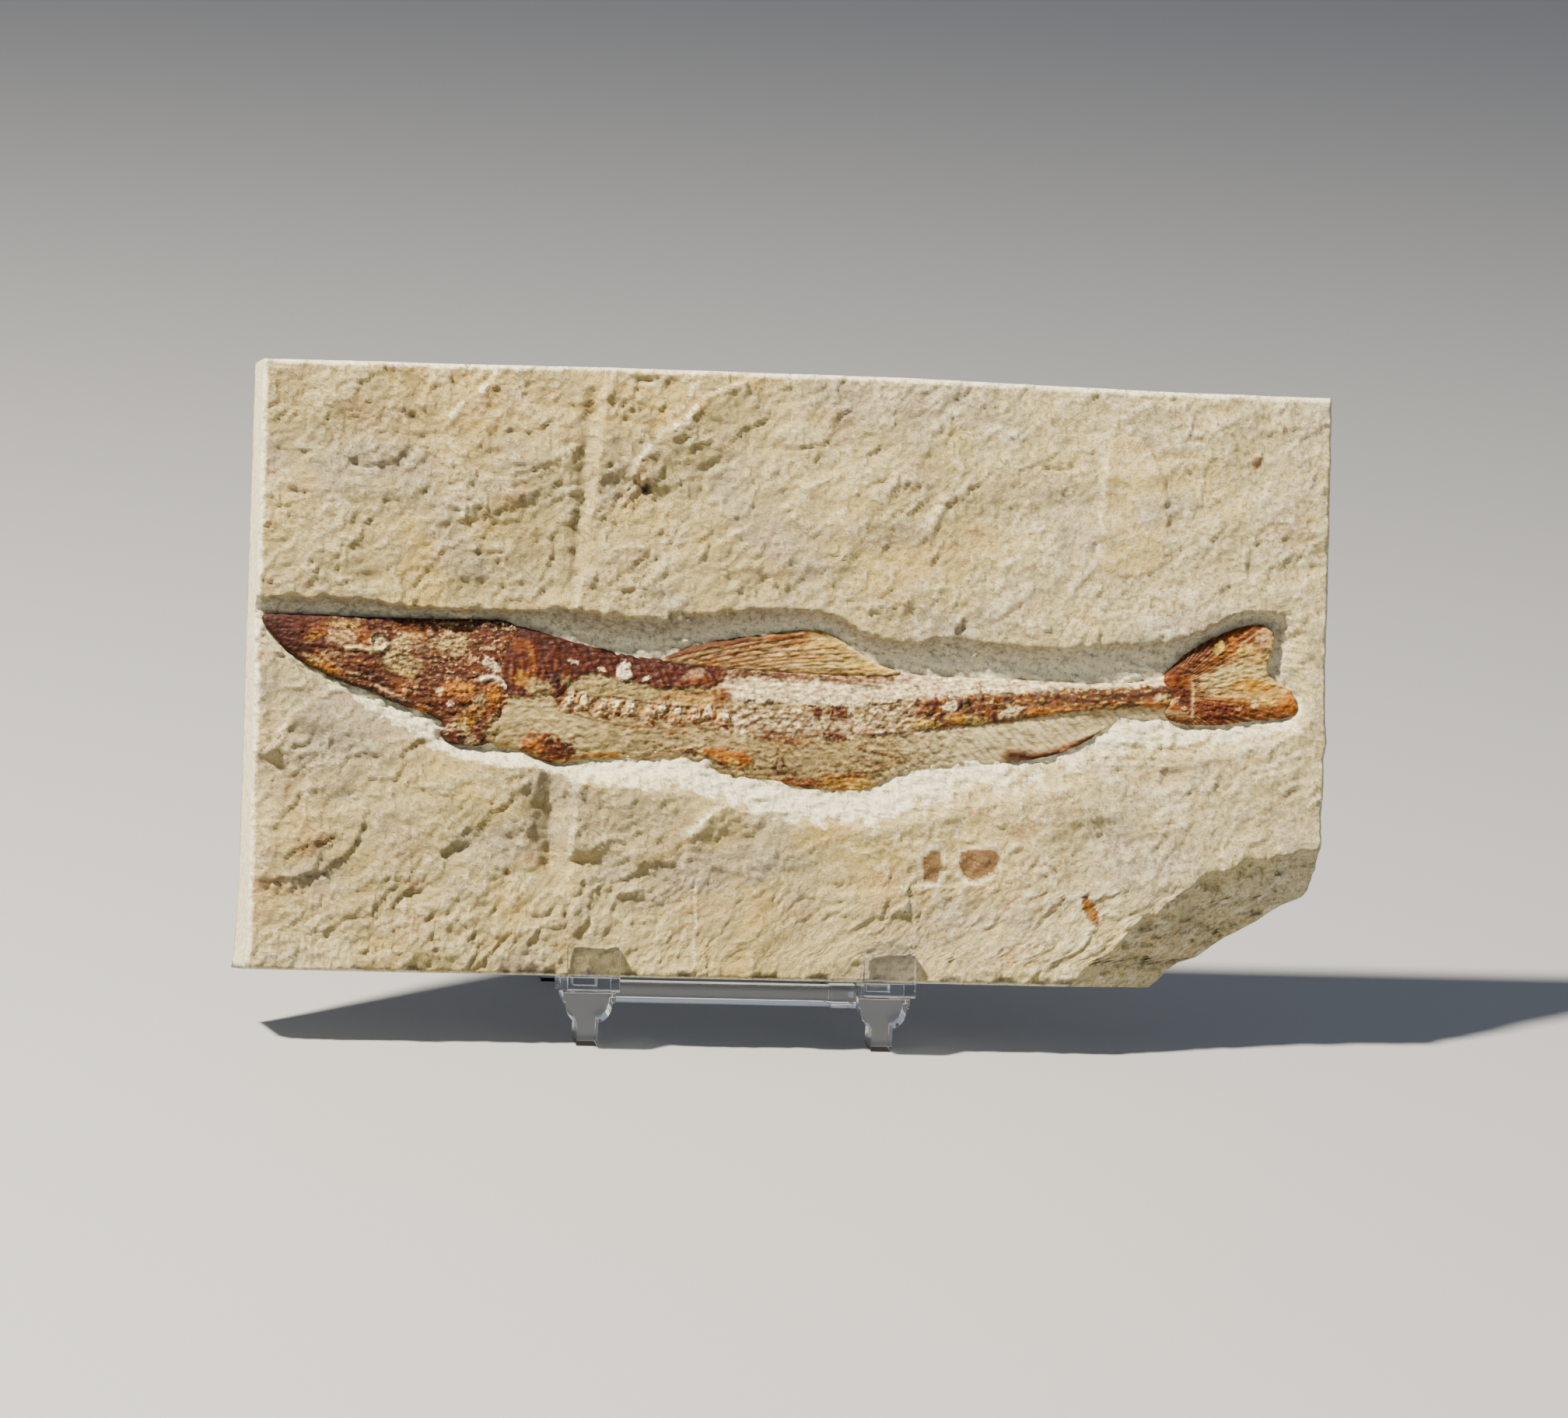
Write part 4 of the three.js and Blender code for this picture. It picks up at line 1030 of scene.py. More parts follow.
# Single bones, flakes and stains, and then the fine lines between them.
trunk.patches([
    # colour, middle, half sizes, angle, strength, lift
    ("olive", (81, 63), (12, 1.8), -6, 1.0, 0.1), ("ochre", (97, 62.0), (6, 1.7), -4, 0.6, 0.1),
    ("copper", (103.4, 62.3), (2.3, 2.0), 70, 0.9, 0.15), ("copper", (91, 61.6), (1.6, 1.0), 0, 0.6, 0.05),
    ("sage", (62.5, 63), (3.2, 1.8), -20, 0.8, 0.0), ("umber", (63.4, 62.4), (1.8, 0.6), 10, 0.7, 0.1),
    ("rust", (67.2, 62.2), (2.0, 1.6), -60, 0.9, 0.2), ("orange", (58.5, 72.4), (1.7, 2.0), 70, 0.35, 0.1),
    ("orange", (61.3, 69), (0.7, 3.4), 8, 0.6, 0.1), ("ochre", (59.3, 65), (1.6, 2.2), 30, 0.7, 0.0),
    ("chalk", (81.7, 66.9), (1.9, 1.5), 35, 1.0, 0.2), ("chalk", (81.6, 68.4), (0.8, 1.1), 0, 1.0, 0.1),
    ("black", (82.2, 64.9), (1.2, 0.5), -10, 0.9, 0.1), ("black", (66.3, 64.6), (1.0, 1.7), 0, 0.8, 0.1),
    ("chalk", (70.4, 69.0), (1.1, 0.4), -10, 0.9, 0.2), ("chalk", (76.7, 67.6), (0.9, 0.4), -20, 0.9, 0.2),
    ("chalk", (86.7, 65.8), (1.0, 0.4), 30, 0.8, 0.2), ("pink", (97.5, 67), (2.2, 1.2), 20, 0.5, 0.1),
    ("copper", (98.5, 65.8), (4.0, 0.8), 4, 0.7, 0.1),
    ("umber", (107.5, 67.6), (3.0, 0.9), 5, 0.8, 0.2), ("umber", (113.5, 67.8), (2.6, 0.7), -5, 0.8, 0.2),
    ("maroon", (116.6, 67.2), (1.5, 1.0), 20, 0.8, 0.2), ("copper", (120.5, 67.2), (2.8, 0.7), 0, 0.7, 0.15),
    ("black", (109.6, 61.4), (1.6, 0.6), 12, 0.95, 0.2), ("black", (114.3, 61.4), (1.6, 0.8), 20, 0.9, 0.2),
    ("rust", (124.8, 59.4), (1.5, 1.1), 0, 1.0, 0.3), ("rust", (129.6, 59.5), (2.7, 1.15), 3, 1.0, 0.3),
    ("black", (124.4, 60.7), (1.9, 0.35), -3, 1.0, 0.1), ("black", (129.8, 60.7), (2.6, 0.35), 2, 1.0, 0.1),
    ("black", (138, 61.7), (1.8, 0.4), 0, 0.95, 0.2), ("maroon", (142.4, 61.8), (1.6, 0.5), 6, 0.9, 0.2),
    ("black", (143.5, 62.5), (0.6, 0.5), 0, 0.9, 0.1), ("black", (147.4, 62.3), (0.5, 0.9), -20, 0.95, 0.2),
    ("rust", (151.0, 61.9), (1.5, 1.2), 0, 1.0, 0.3), ("copper", (148.5, 61.2), (1.6, 0.9), 0, 0.8, 0.1),
    ("chalk", (154.8, 61.6), (1.7, 1.0), 10, 0.9, 0.0), ("maroon", (158.2, 62.7), (1.7, 0.9), 14, 1.0, 0.3),
    ("black", (158.6, 63.3), (0.9, 0.4), 14, 0.8, 0.1), ("rust", (161.5, 62.4), (1.2, 2.4), 0, 0.8, 0.2),
    ("straw", (149, 57.4), (3.6, 1.0), 4, 0.8, 0.2), ("ochre", (157, 59.2), (2.0, 1.0), -8, 0.8, 0.2),
    ("straw", (160.6, 58.6), (3.4, 0.8), -6, 0.7, 0.2), ("maroon", (165, 61), (0.6, 2.8), 0, 0.9, 0.2),
    ("chalk", (168.5, 60.7), (2.6, 0.9), 22, 0.6, 0.1), ("rust", (146, 59.8), (2.6, 0.6), -6, 0.8, 0.2),
    ("black", (147.4, 65.8), (0.9, 0.35), -25, 0.9, 0.1), ("pink", (151.5, 66), (1.5, 0.35), 8, 0.8, 0.1),
    ("copper", (161.4, 65.8), (1.0, 1.2), 0, 0.6, 0.1), ("black", (167.2, 64.8), (1.0, 0.35), 10, 0.7, 0.1),
    ("orange", (176.5, 61.2), (4.5, 0.7), 4, 0.85, 0.2), ("ochre", (178.3, 61.0), (1.0, 0.5), 0, 0.9, 0.2),
    ("orange", (201.2, 63.2), (2.4, 1.3), -5, 0.8, 0.1), ("cream", (203.0, 64.8), (2.0, 0.6), 20, 0.7, 0.1),
    ("rust", (128.6, 54.2), (2.6, 0.8), -6, 1.0, 0.3), ("black", (137.6, 54.7), (0.6, 0.5), 0, 1.0, 0.2),
    ("black", (141, 55.5), (1.1, 0.4), -8, 0.9, 0.2), ("maroon", (144.4, 55.6), (0.8, 0.7), 0, 0.8, 0.2),
    ("pink", (135.5, 55.8), (2.0, 0.8), 0, 0.8, 0.1), ("copper", (116, 53.6), (4.6, 1.5), -10, 0.75, 0.1),
    ("umber", (113.4, 54.0), (1.6, 0.8), 20, 0.7, 0.2), ("umber", (119.5, 52.8), (1.8, 1.0), -20, 0.6, 0.2),
    ("orange", (122.4, 53.4), (2.0, 0.8), -10, 0.6, 0.1), ("rust", (136.5, 51.3), (2.6, 0.4), -14, 0.9, 0.2),
    ("copper", (142, 50.2), (2.4, 0.45), -18, 0.8, 0.15),
    ("copper", (93, 54.6), (2.4, 0.8), 4, 0.7, 0.1), ("ochre", (86, 54.8), (2.4, 0.6), 0, 0.6, 0.1),
    ("copper", (64.6, 50.2), (6.2, 3.0), -6, 1.2, 0.3), ("rust", (66.4, 49.8), (3.8, 2.2), -4, 1.0, 0.1),
    ("maroon", (69.4, 50.4), (1.6, 0.9), -30, 0.9, 0.1), ("maroon", (65.4, 51.8), (0.8, 0.9), 0, 0.8, 0.1),
    ("orange", (61.4, 50.8), (2.4, 1.0), -35, 0.8, 0.1), ("copper", (76, 48.6), (5.2, 0.7), 4, 0.7, 0.1),
    ("ochre", (78, 48.9), (4.4, 0.5), 2, 0.6, 0.0), ("rust", (96.6, 50.3), (2.0, 0.7), -14, 0.95, 0.2),
    ("cream", (98, 51.4), (2.4, 0.4), 10, 0.8, 0.1), ("orange", (106, 49.1), (4.8, 1.7), -12, 1.5, 0.2),
    ("ochre", (104.6, 49.7), (2.4, 0.8), -8, 0.7, 0.1), ("straw", (106.7, 48.0), (1.4, 0.5), -10, 0.7, 0.1),
    ("copper", (108.8, 48.8), (0.9, 1.8), -15, 0.8, 0.1),
    ("umber", (116.6, 47.8), (1.3, 2.4), -12, 0.95, 0.2), ("grey", (116.7, 47.9), (0.5, 1.3), -12, 0.9, -0.2),
    ("sage", (115, 44.3), (2.6, 0.9), -10, 0.8, 0.0), ("umber", (118.7, 46.3), (2.0, 0.5), 8, 0.6, 0.1),
    ("copper", (122, 43.9), (4.4, 1.1), -3, 1.3, 0.2), ("rust", (123.4, 43.5), (2.2, 0.5), -3, 0.8, 0.1),
    ("ochre", (132.5, 44.0), (5.6, 1.9), -2, 0.9, 0.1), ("straw", (135.2, 43.6), (3.2, 1.2), 6, 0.6, 0.0),
    ("rust", (134, 46.0), (4.6, 0.6), 8, 0.85, 0.15), ("umber", (129.6, 44.3), (2.4, 0.9), -20, 0.5, 0.0),
    ("black", (127.3, 45.7), (1.8, 0.35), 12, 0.8, 0.1),
    ("copper", (181.3, 52.6), (2.6, 1.0), 22, 0.7, 0.15), ("pink", (181.6, 52.5), (1.7, 0.5), 22, 0.8, 0.1),
])
trunk.lines([
    # colour, line, width, strength, lift
    ("umber", [(72.5, 61.6), (79, 61.7), (86, 60.8), (92, 59.9), (99, 59.9)], 0.28, 0.9, 0.12),
    ("umber", [(68, 58.9), (72, 57.2), (78, 55.8), (85, 55.2), (92, 55.0)], 0.25, 0.8, 0.1),
    ("black", [(90.5, 64.4), (95, 63.4), (101, 63.0)], 0.28, 0.8, 0.1),
    ("umber", [(98, 55.4), (102, 55.0), (106, 56.6)], 0.3, 0.8, 0.1),
    ("umber", [(103, 66.0), (112, 65.9), (118, 66.2), (124, 66.2)], 0.35, 0.6, 0.1),
    ("maroon", [(125, 66.7), (129, 66.6), (134, 65.9), (140, 65.5)], 0.45, 0.9, 0.2),
    ("copper", [(128, 66.9), (134, 66.6), (143, 66.2)], 0.35, 0.7, 0.1),
    ("umber", [(110, 54.6), (118, 54.8), (128, 54.9), (138, 54.9), (146, 55.7)], 0.35, 0.7, 0.15),
    ("umber", [(145, 55.8), (150, 56.2), (155, 57.6)], 0.3, 0.8, 0.1),
    ("umber", [(156, 57.6), (161, 57.2), (164, 58.4), (170, 58.9), (176, 60.2)], 0.3, 0.7, 0.1),
    ("maroon", [(174, 63.9), (177, 64.4), (181, 64.2), (186, 63.6), (190, 64.0)], 0.45, 0.8, 0.2),
    ("maroon", [(188, 64.9), (193, 65.2), (198, 65.1), (202, 66.4), (206, 67.2)], 0.6, 0.85, 0.2),
    ("umber", [(177, 66.6), (179, 66.4), (180, 65.4)], 0.35, 0.7, 0.1),
    ("umber", [(182, 66.3), (187, 66.6), (189.5, 66.1)], 0.3, 0.7, 0.1),
    ("umber", [(96.6, 50.2), (101, 49.2), (105.5, 46.6), (107.3, 44.4)], 0.35, 0.8, 0.15),
    ("grey", [(95.4, 49.6), (99, 48.0), (103, 45.4)], 0.4, 0.8, 0.1),
    ("black", [(99.5, 49.0), (103, 47.9), (107, 46.4)], 0.22, 0.8, 0.1),
    ("grey", [(101.4, 48.2), (103.5, 46.6), (105, 45.4)], 0.4, 0.6, 0.1),
    ("umber", [(112, 45.4), (116, 45.4), (121, 46.2)], 0.3, 0.7, 0.1),
    ("maroon", [(170.5, 51.4), (174, 50.5), (178, 51.0), (180.6, 52.2)], 0.4, 0.85, 0.2),
    ("copper", [(180, 51.0), (184, 53.8), (188, 55.0), (191, 56.4)], 0.45, 0.8, 0.15),
    ("umber", [(182, 54.2), (187, 55.5), (193, 57.6)], 0.22, 0.5, 0.1),
    ("umber", [(156.5, 55.3), (158.5, 54.4), (161, 54.2)], 0.3, 0.7, 0.1),
    ("copper", [(127, 48.9), (133, 49.2), (139, 48.2), (144, 48.0)], 0.3, 0.5, 0.1),
    ("umber", [(135, 50.2), (138, 48.4), (142, 47.6)], 0.22, 0.5, 0.1),
])

# Fine dark crumbs and scratches over the whole flank.
crumbled = trunk.blotches(0.95, 0.7, 241, 0.12, 0.5)
calm_skin = np.maximum(smooth(140, 155, u) * below, smooth(84, 76, u) * smooth(60, 58, v))
trunk.lay(0.5 * crumbled * (1 - calm_skin) * smooth(200, 180, u), "umber", 0.1)
mid_flank = smooth(100, 104, u) * smooth(160, 150, u)
trunk.lay(0.45 * trunk.blotches(1.2, 0.8, 242, 0.3, 0.6) * mid_flank, "copper", 0.08)
trunk.finish(bulge=1.25, plateau=8.0, material=bone.material)

# ---------------------------------------------------------------- the fish's head
# The skull, crushed flat: a dark snout and jaw, the round eye socket in its ring of bone, a
# wrinkled cheek, and the gill cover, whose pale hind edge overlaps the body.
head_outline = rounded([
    [1.5, 77.7], *snout_top, [56, 77.8], [58.6, 75.6], [58.8, 72], [57.6, 68], [58.0, 64.4],
    [57.8, 60.5], [56.6, 57], [55.4, 54.2], [54.0, 51.6], [51.2, 50.2], *jaw, [4.6, 72.6],
    [1.8, 75.6]])
head = Relief("fish_head", (-0.6, 60), (48.5, 79), cell=0.2, outline=head_outline, ground="umber")
u, v = head.u, head.v
grainy = layered(u / 1.3, v / 1.1, 301, 3)
head.lay(0.75 * head.blotches(4, 2.5, 302, -0.4, 0.3), "rust", 0.0, 0.5)
head.lay(0.5 * smooth(0.05, 0.5, grainy), "copper", 0.06, 0.6)
head.patches([
    # colour, middle, half sizes, angle, strength, lift
    ("maroon", (6.4, 74.2), (6.4, 3.6), -36, 1.5, 0.15), ("black", (3.4, 76.0), (2.6, 1.2), -20, 0.7, 0.0),
    ("black", (8.4, 70.7), (2.4, 1.0), -52, 0.7, 0.1), ("rust", (9.0, 73.8), (1.6, 2.2), -20, 0.6, 0.1),
    ("copper", (12.8, 74.6), (3.2, 1.8), -8, 0.85, 0.1), ("ochre", (12.4, 72.7), (2.6, 0.9), 28, 0.8, 0.1),
    ("maroon", (15, 72.4), (0.7, 1.6), -18, 0.7, 0.0), ("olive", (11.6, 72.0), (1.6, 0.5), 24, 0.6, 0.0),
    ("straw", (19.6, 76.0), (3.2, 0.9), -4, 0.9, 0.1), ("ochre", (15.4, 76.4), (2.0, 0.6), -10, 0.8, 0.1),
    ("pink", (19.2, 73.4), (3.3, 2.0), -12, 1.0, -0.1), ("olive", (19.8, 73.0), (2.4, 1.4), -12, 0.5, 0.0),
    ("copper", (23.8, 73.4), (1.6, 2.5), 8, 1.5, 0.2), ("orange", (25.0, 72.0), (0.8, 1.3), 0, 0.6, 0.0),
    ("rust", (27.4, 76.0), (3.4, 1.1), 0, 0.95, 0.2), ("maroon", (26.4, 75.6), (1.5, 0.9), 0, 0.9, 0.1),
    ("maroon", (34, 76.6), (4.2, 0.7), 2, 0.85, 0.1), ("copper", (34, 75), (4.0, 1.2), -6, 0.8, 0.1),
    ("rust", (39.0, 76.2), (1.4, 1.0), 0, 0.8, 0.1),
    ("grey", (27.3, 72.3), (1.9, 1.9), 0, 1.5, 0.0), ("ivory", (27.2, 72.4), (1.3, 1.3), 0, 1.2, 0.0),
    ("cream", (32.3, 72.2), (4.0, 1.8), 22, 0.95, 0.15), ("ochre", (34.8, 73.4), (2.2, 0.9), 14, 0.6, 0.0),
    ("umber", (37.6, 70.8), (1.6, 1.3), -50, 0.8, 0.0), ("grey", (36.6, 71.2), (1.1, 0.7), -20, 0.7, 0.0),
    ("pink", (17.2, 69.0), (3.0, 1.0), -14, 0.55, 0.1), ("umber", (17.6, 68.2), (3.4, 0.9), -14, 0.6, 0.0),
    ("rust", (24.6, 67.4), (4.2, 1.8), -8, 1.0, 0.15), ("copper", (22.4, 68.2), (1.5, 0.7), 0, 0.6, 0.0),
    ("sage", (32.0, 67.7), (4.3, 2.3), -14, 1.0, 0.1), ("straw", (33, 65.6), (2.4, 0.8), -8, 0.8, 0.0),
    ("maroon", (26.4, 64.6), (5.0, 1.3), -24, 0.95, 0.1), ("rust", (22.0, 64.0), (4.4, 0.9), -22, 0.6, 0.0),
    ("ochre", (14.0, 67.4), (4.6, 1.3), -26, 0.95, 0.15), ("orange", (16.8, 66.2), (2.8, 0.8), -22, 0.9, 0.1),
    ("cream", (12.8, 68.0), (2.0, 0.6), -20, 0.7, 0.1), ("straw", (11.8, 66.6), (1.4, 0.5), -30, 0.7, 0.0),
    ("copper", (33.8, 62.4), (3.0, 1.9), -10, 0.9, 0.1), ("pink", (33.2, 62.0), (0.6, 1.6), -12, 0.8, 0.1),
    ("cream", (35.6, 62.8), (0.5, 1.5), -12, 0.7, 0.1), ("umber", (38.6, 64.4), (2.6, 2.2), 0, 0.8, 0.0),
    ("rust", (37.6, 66.8), (1.6, 2.6), -10, 0.7, 0.1), ("maroon", (40.6, 66.5), (1.0, 2.2), 0, 0.8, 0.1),
    ("sage", (43.2, 72.4), (4.0, 2.2), 4, 1.0, 0.15), ("cream", (45.4, 73.4), (2.2, 0.8), -12, 0.7, 0.1),
    ("maroon", (38.6, 73.6), (0.9, 1.7), 12, 0.8, 0.0), ("pink", (38.4, 74.6), (0.8, 0.5), 0, 0.6, 0.1),
    ("olive", (45, 76.3), (5.2, 0.7), -4, 0.9, 0.0), ("umber", (46, 75.9), (4.0, 0.4), -5, 0.8, 0.0),
    ("black", (53.0, 77.0), (4.0, 0.9), 2, 0.95, 0.2), ("maroon", (51.6, 75.2), (3.0, 0.7), -10, 0.9, 0.1),
    ("cream", (55.2, 75.8), (1.0, 0.3), -4, 0.9, 0.15), ("cream", (57.6, 75.9), (0.9, 0.3), -8, 0.8, 0.15),
    ("rust", (51.6, 72.0), (4.4, 2.6), -20, 0.85, 0.1), ("copper", (55.6, 71.2), (2.2, 2.8), 0, 0.6, 0.1),
    ("umber", (49.0, 71.2), (1.2, 2.4), -30, 0.5, 0.0),
    # These two small pink spots are painted glints on the glossy gill cover.
    ("pink", (51.6, 71.4), (1.5, 0.5), 0, 0.95, 0.15), ("pink", (54.2, 71.8), (0.7, 0.6), 0, 0.9, 0.15),
    ("orange", (57.2, 72.4), (1.2, 2.2), 0, 0.35, 0.0),
    # The pink spot at (47.8, 69.0) is a painted glint.
    ("umber", (44.6, 67.6), (3.6, 1.6), -10, 0.75, 0.05), ("pink", (47.8, 69.0), (1.7, 0.7), -14, 0.85, 0.15),
    ("pink", (44.6, 69.8), (1.6, 0.5), 14, 0.5, 0.1), ("copper", (48, 66.6), (3.2, 0.8), -12, 0.8, 0.05),
    # The chalk spot at (51.8, 68.2) is a painted highlight.
    ("chalk", (51.8, 68.2), (1.7, 1.1), -26, 0.95, 0.2), ("chalk", (53.4, 66.8), (0.9, 0.7), 0, 0.8, 0.1),
    ("pink", (56.0, 68.4), (0.9, 0.6), 20, 0.9, 0.15), ("rust", (57.0, 66), (0.9, 1.4), 0, 0.8, 0.1),
    ("umber", (44, 65.2), (3.0, 0.6), -4, 0.7, 0.0),
    ("orange", (45.4, 62.2), (4.0, 2.2), -8, 1.4, 0.25), ("ochre", (45.8, 62.4), (2.6, 1.0), -8, 0.45, 0.0),
    ("copper", (41.4, 60.6), (2.0, 1.3), 20, 0.8, 0.1),
    ("orange", (52.6, 61.2), (2.6, 2.2), -10, 1.3, 0.2), ("ochre", (53.6, 60.6), (0.9, 2.4), 4, 0.9, 0.1),
    ("cream", (49.4, 60.2), (1.5, 1.0), 20, 0.85, 0.1), ("sage", (50.6, 58.8), (1.0, 0.6), 20, 0.7, 0.1),
    ("cream", (40.8, 61.6), (0.9, 0.9), 20, 0.8, 0.1),
    ("rust", (40.4, 58.6), (3.0, 1.0), -4, 0.9, 0.1), ("chalk", (43.2, 59.0), (0.8, 0.6), 0, 1.0, 0.2),
    ("copper", (37, 58.0), (2.6, 0.8), -22, 0.8, 0.1), ("ochre", (36.8, 57.4), (1.6, 0.5), -22, 0.7, 0.1),
    ("maroon", (47.8, 58.2), (1.2, 1.8), -38, 0.9, 0.2), ("black", (51.0, 59.2), (0.6, 0.5), 0, 0.9, 0.1),
    ("ochre", (48.4, 55.8), (2.8, 1.0), 36, 0.9, 0.1), ("copper", (51.6, 56.0), (1.0, 3.0), -18, 0.9, 0.15),
    ("pink", (52.8, 56.0), (0.9, 0.9), 0, 0.7, 0.1), ("maroon", (54.0, 56.6), (0.6, 2.6), -10, 0.8, 0.0),
    ("copper", (54.2, 53.6), (1.6, 1.0), -30, 0.7, 0.1),
    ("cream", (44.6, 54.7), (3.0, 0.8), 34, 0.95, 0.15), ("sage", (46.6, 53.6), (1.3, 1.2), 0, 0.9, 0.0),
    ("rust", (44.2, 52.2), (2.5, 0.9), -16, 1.0, 0.2), ("maroon", (42.4, 52.8), (1.1, 0.6), -20, 0.9, 0.1),
    ("rust", (49.6, 52.6), (1.2, 1.9), -8, 1.0, 0.2), ("maroon", (50.2, 51.0), (0.9, 0.6), 0, 0.8, 0.1),
    ("olive", (53.6, 51.4), (1.8, 0.8), -30, 0.8, 0.0), ("sage", (53.2, 53.6), (2.2, 2.6), 0, 0.9, 0.0),
    ("ivory", (48.0, 51.0), (1.6, 0.8), 0, 0.7, 0.0), ("ochre", (46.6, 56.8), (3.2, 0.9), 36, 1.0, 0.1),
])

# Wrinkled skin behind the eye, on the cheek and on the gill cover's top.
wrinkled = (
    mound(u, v, (32.5, 71.6), (5.5, 2.4), 20) + mound(u, v, (32, 67.6), (5, 2.4), -14)
    + mound(u, v, (43.5, 72.4), (4.6, 2.4), 0))
head.lay(0.6 * wrinkled * head.strokes(24, 1.3, 311, 0.6), "olive", -0.15)
head.lay(0.5 * wrinkled * head.blotches(1.6, 0.9, 312, 0.1, 0.4), "umber", -0.1)
head.lines([
    # colour, line, width, strength, lift
    ("maroon", [(1, 76.8), (8, 76.9), (15, 76.9), (22, 77.0)], 0.35, 0.5, 0.1),
    ("maroon", [(31, 77.0), (36, 77.3), (41, 77.1)], 0.4, 0.6, 0.1),
    ("black", [(44, 76.6), (50, 76.2), (57, 75.1)], 0.35, 0.8, 0.0),
    ("umber", [(12, 71.3), (16, 71.2), (20.4, 70.8)], 0.35, 0.9, 0.15),
    ("cream", [(19.6, 70.4), (22.4, 71.1), (25, 70.3), (28.6, 70.2)], 0.5, 1.0, 0.35),
    ("black", [(27.4, 69.4), (30, 70.6), (31, 71.2)], 0.28, 0.8, 0.0),
    ("umber", [(20.2, 70.0), (23.5, 69.2), (28.6, 69.2)], 0.3, 0.8, 0.0),
    ("cream", [(25.1, 72.6), (25.9, 71.2), (27.6, 70.5), (29.1, 71.6)], 0.32, 0.9, 0.3),
    ("umber", [(25.4, 73.6), (27.0, 74.5), (28.9, 73.6), (29.2, 72.2)], 0.28, 0.8, 0.2),
    ("black", [(9.4, 71.0), (10.2, 69.2), (10.0, 67.4)], 0.4, 0.8, 0.1),
    ("pink", [(14.6, 69.4), (16.2, 67.6), (19.4, 66.6)], 0.3, 0.7, 0.15),
    ("cream", [(20, 65.3), (23.5, 64.9)], 0.25, 0.9, 0.2),
    ("pink", [(26.4, 62.9), (28.4, 61.8), (30.6, 60.7), (33, 60.4)], 0.35, 0.95, 0.25),
    ("black", [(17.2, 64.4), (19, 63.7), (23, 62.7), (27, 61.3)], 0.38, 0.95, 0.3),
    ("black", [(27.4, 61.0), (30.2, 59.6), (33, 59.3), (35.4, 59.2)], 0.42, 0.95, 0.3),
    ("black", [(20.6, 64.8), (25, 63.8), (29.4, 62.4)], 0.25, 0.8, -0.1),
    ("umber", [(40.6, 63.6), (44.5, 64.9), (49.4, 63.4)], 0.4, 0.9, 0.0),
    ("umber", [(41.6, 60.4), (45, 59.8), (49, 61.0), (49.8, 63.4)], 0.4, 0.9, 0.0),
    ("maroon", [(49.8, 59.0), (51.2, 62.2), (50.6, 64.0)], 0.4, 0.9, 0.0),
    ("maroon", [(46.4, 57.4), (49.4, 56.4), (51.4, 53.6)], 0.45, 0.9, 0.0),
    ("umber", [(27.6, 67.8), (29.4, 65.6), (31.6, 64.2)], 0.28, 0.7, 0.0),
    ("rust", [(38.4, 59.9), (42, 60.2), (40, 57.8)], 0.3, 0.6, 0.1),
    ("black", [(41.8, 57.2), (45.4, 57.3), (47.6, 56.6)], 0.22, 0.7, 0.1),
    ("umber", [(42.8, 54.0), (44.4, 55.9), (47.2, 57.0)], 0.3, 0.8, 0.15),
    ("black", [(44.4, 53.6), (45.4, 54.8), (46.4, 55.0)], 0.2, 0.7, 0.0),
    ("black", [(49.6, 66.5), (51.4, 66.0), (53.0, 66.4)], 0.25, 0.7, 0.0),
    ("chalk", [(49.4, 64.3), (51.6, 65.2), (54.2, 64.6), (55.7, 62.9), (55.9, 60.6)], 0.55, 1.0, 0.4),
    ("copper", [(50, 63.6), (53, 63.6), (54.9, 61.6)], 0.3, 0.7, 0.0),
    ("rust", [(55.6, 66.4), (57.2, 63.6), (57.2, 60.6), (56.4, 57.2)], 0.7, 1.0, 0.2),
    ("maroon", [(57.0, 60.8), (56.5, 58.4), (56.0, 56.4)], 0.45, 0.9, 0.1),
])

# The eye socket: a raised ring round a sunken floor, with a small dome in the middle.
socket = np.hypot(u - 27.3, (v - 72.3) * 1.02)
head.lift += 0.35 * np.exp(-((socket - 2.05) / 0.45) ** 2) - 0.25 * smooth(1.9, 1.3, socket)
head.lift += 0.3 * smooth(1.1, 0.3, socket)

# The skull's roof and the gill cover stand up a little, and crumbs of bone lie over all of it.
roof = np.exp(-((v - 76.6) / 0.8) ** 2) * smooth(8, 14, u) * smooth(52, 46, u)
head.lay(0.7 * smooth(75.4, 77.0, v + 0.6 * grainy), "maroon")
cover = smooth(0.2, 3.2, np.hypot((u - 47) / 10, (v - 62) / 7.5) * -4 + 4)
head.lift += 0.2 * roof + 0.35 * cover + 0.12 * layered(u / 2.2, v / 1.6, 321, 3)
throat = patch(u, v, (47.5, 61.5), (7.5, 3.4), -6, 0.3)
head.lay((0.7 - 0.4 * throat) * head.blotches(1.1, 0.8, 303, 0.0, 0.4), "umber", 0.06)
head.lay(0.7 * smooth(18, 9, u) * smooth(-0.6, 0.2, grainy + 0.3), "maroon")
head.lay((0.5 - 0.4 * throat) * head.blotches(0.9, 0.6, 304, 0.2, 0.5), "rust", 0.04)
head.lay(0.2 * head.blotches(1.3, 0.8, 305, 0.35, 0.6) * smooth(14, 20, u), "cream", 0.06, 0.8)
# Painted glints: small pink spots on the gill cover that stand for light glancing off the glossy bone, which
# is also made glossier there.
painted_glints = head.blotches(1.0, 0.8, 331, 0.48, 0.66, 2) * smooth(36, 41, u) * smooth(60, 64, v)
head.lay(0.8 * painted_glints, "pink", 0.08, 0.9)
head.finish(bulge=1.05, plateau=7.0, material=bone.material, base=1.4)

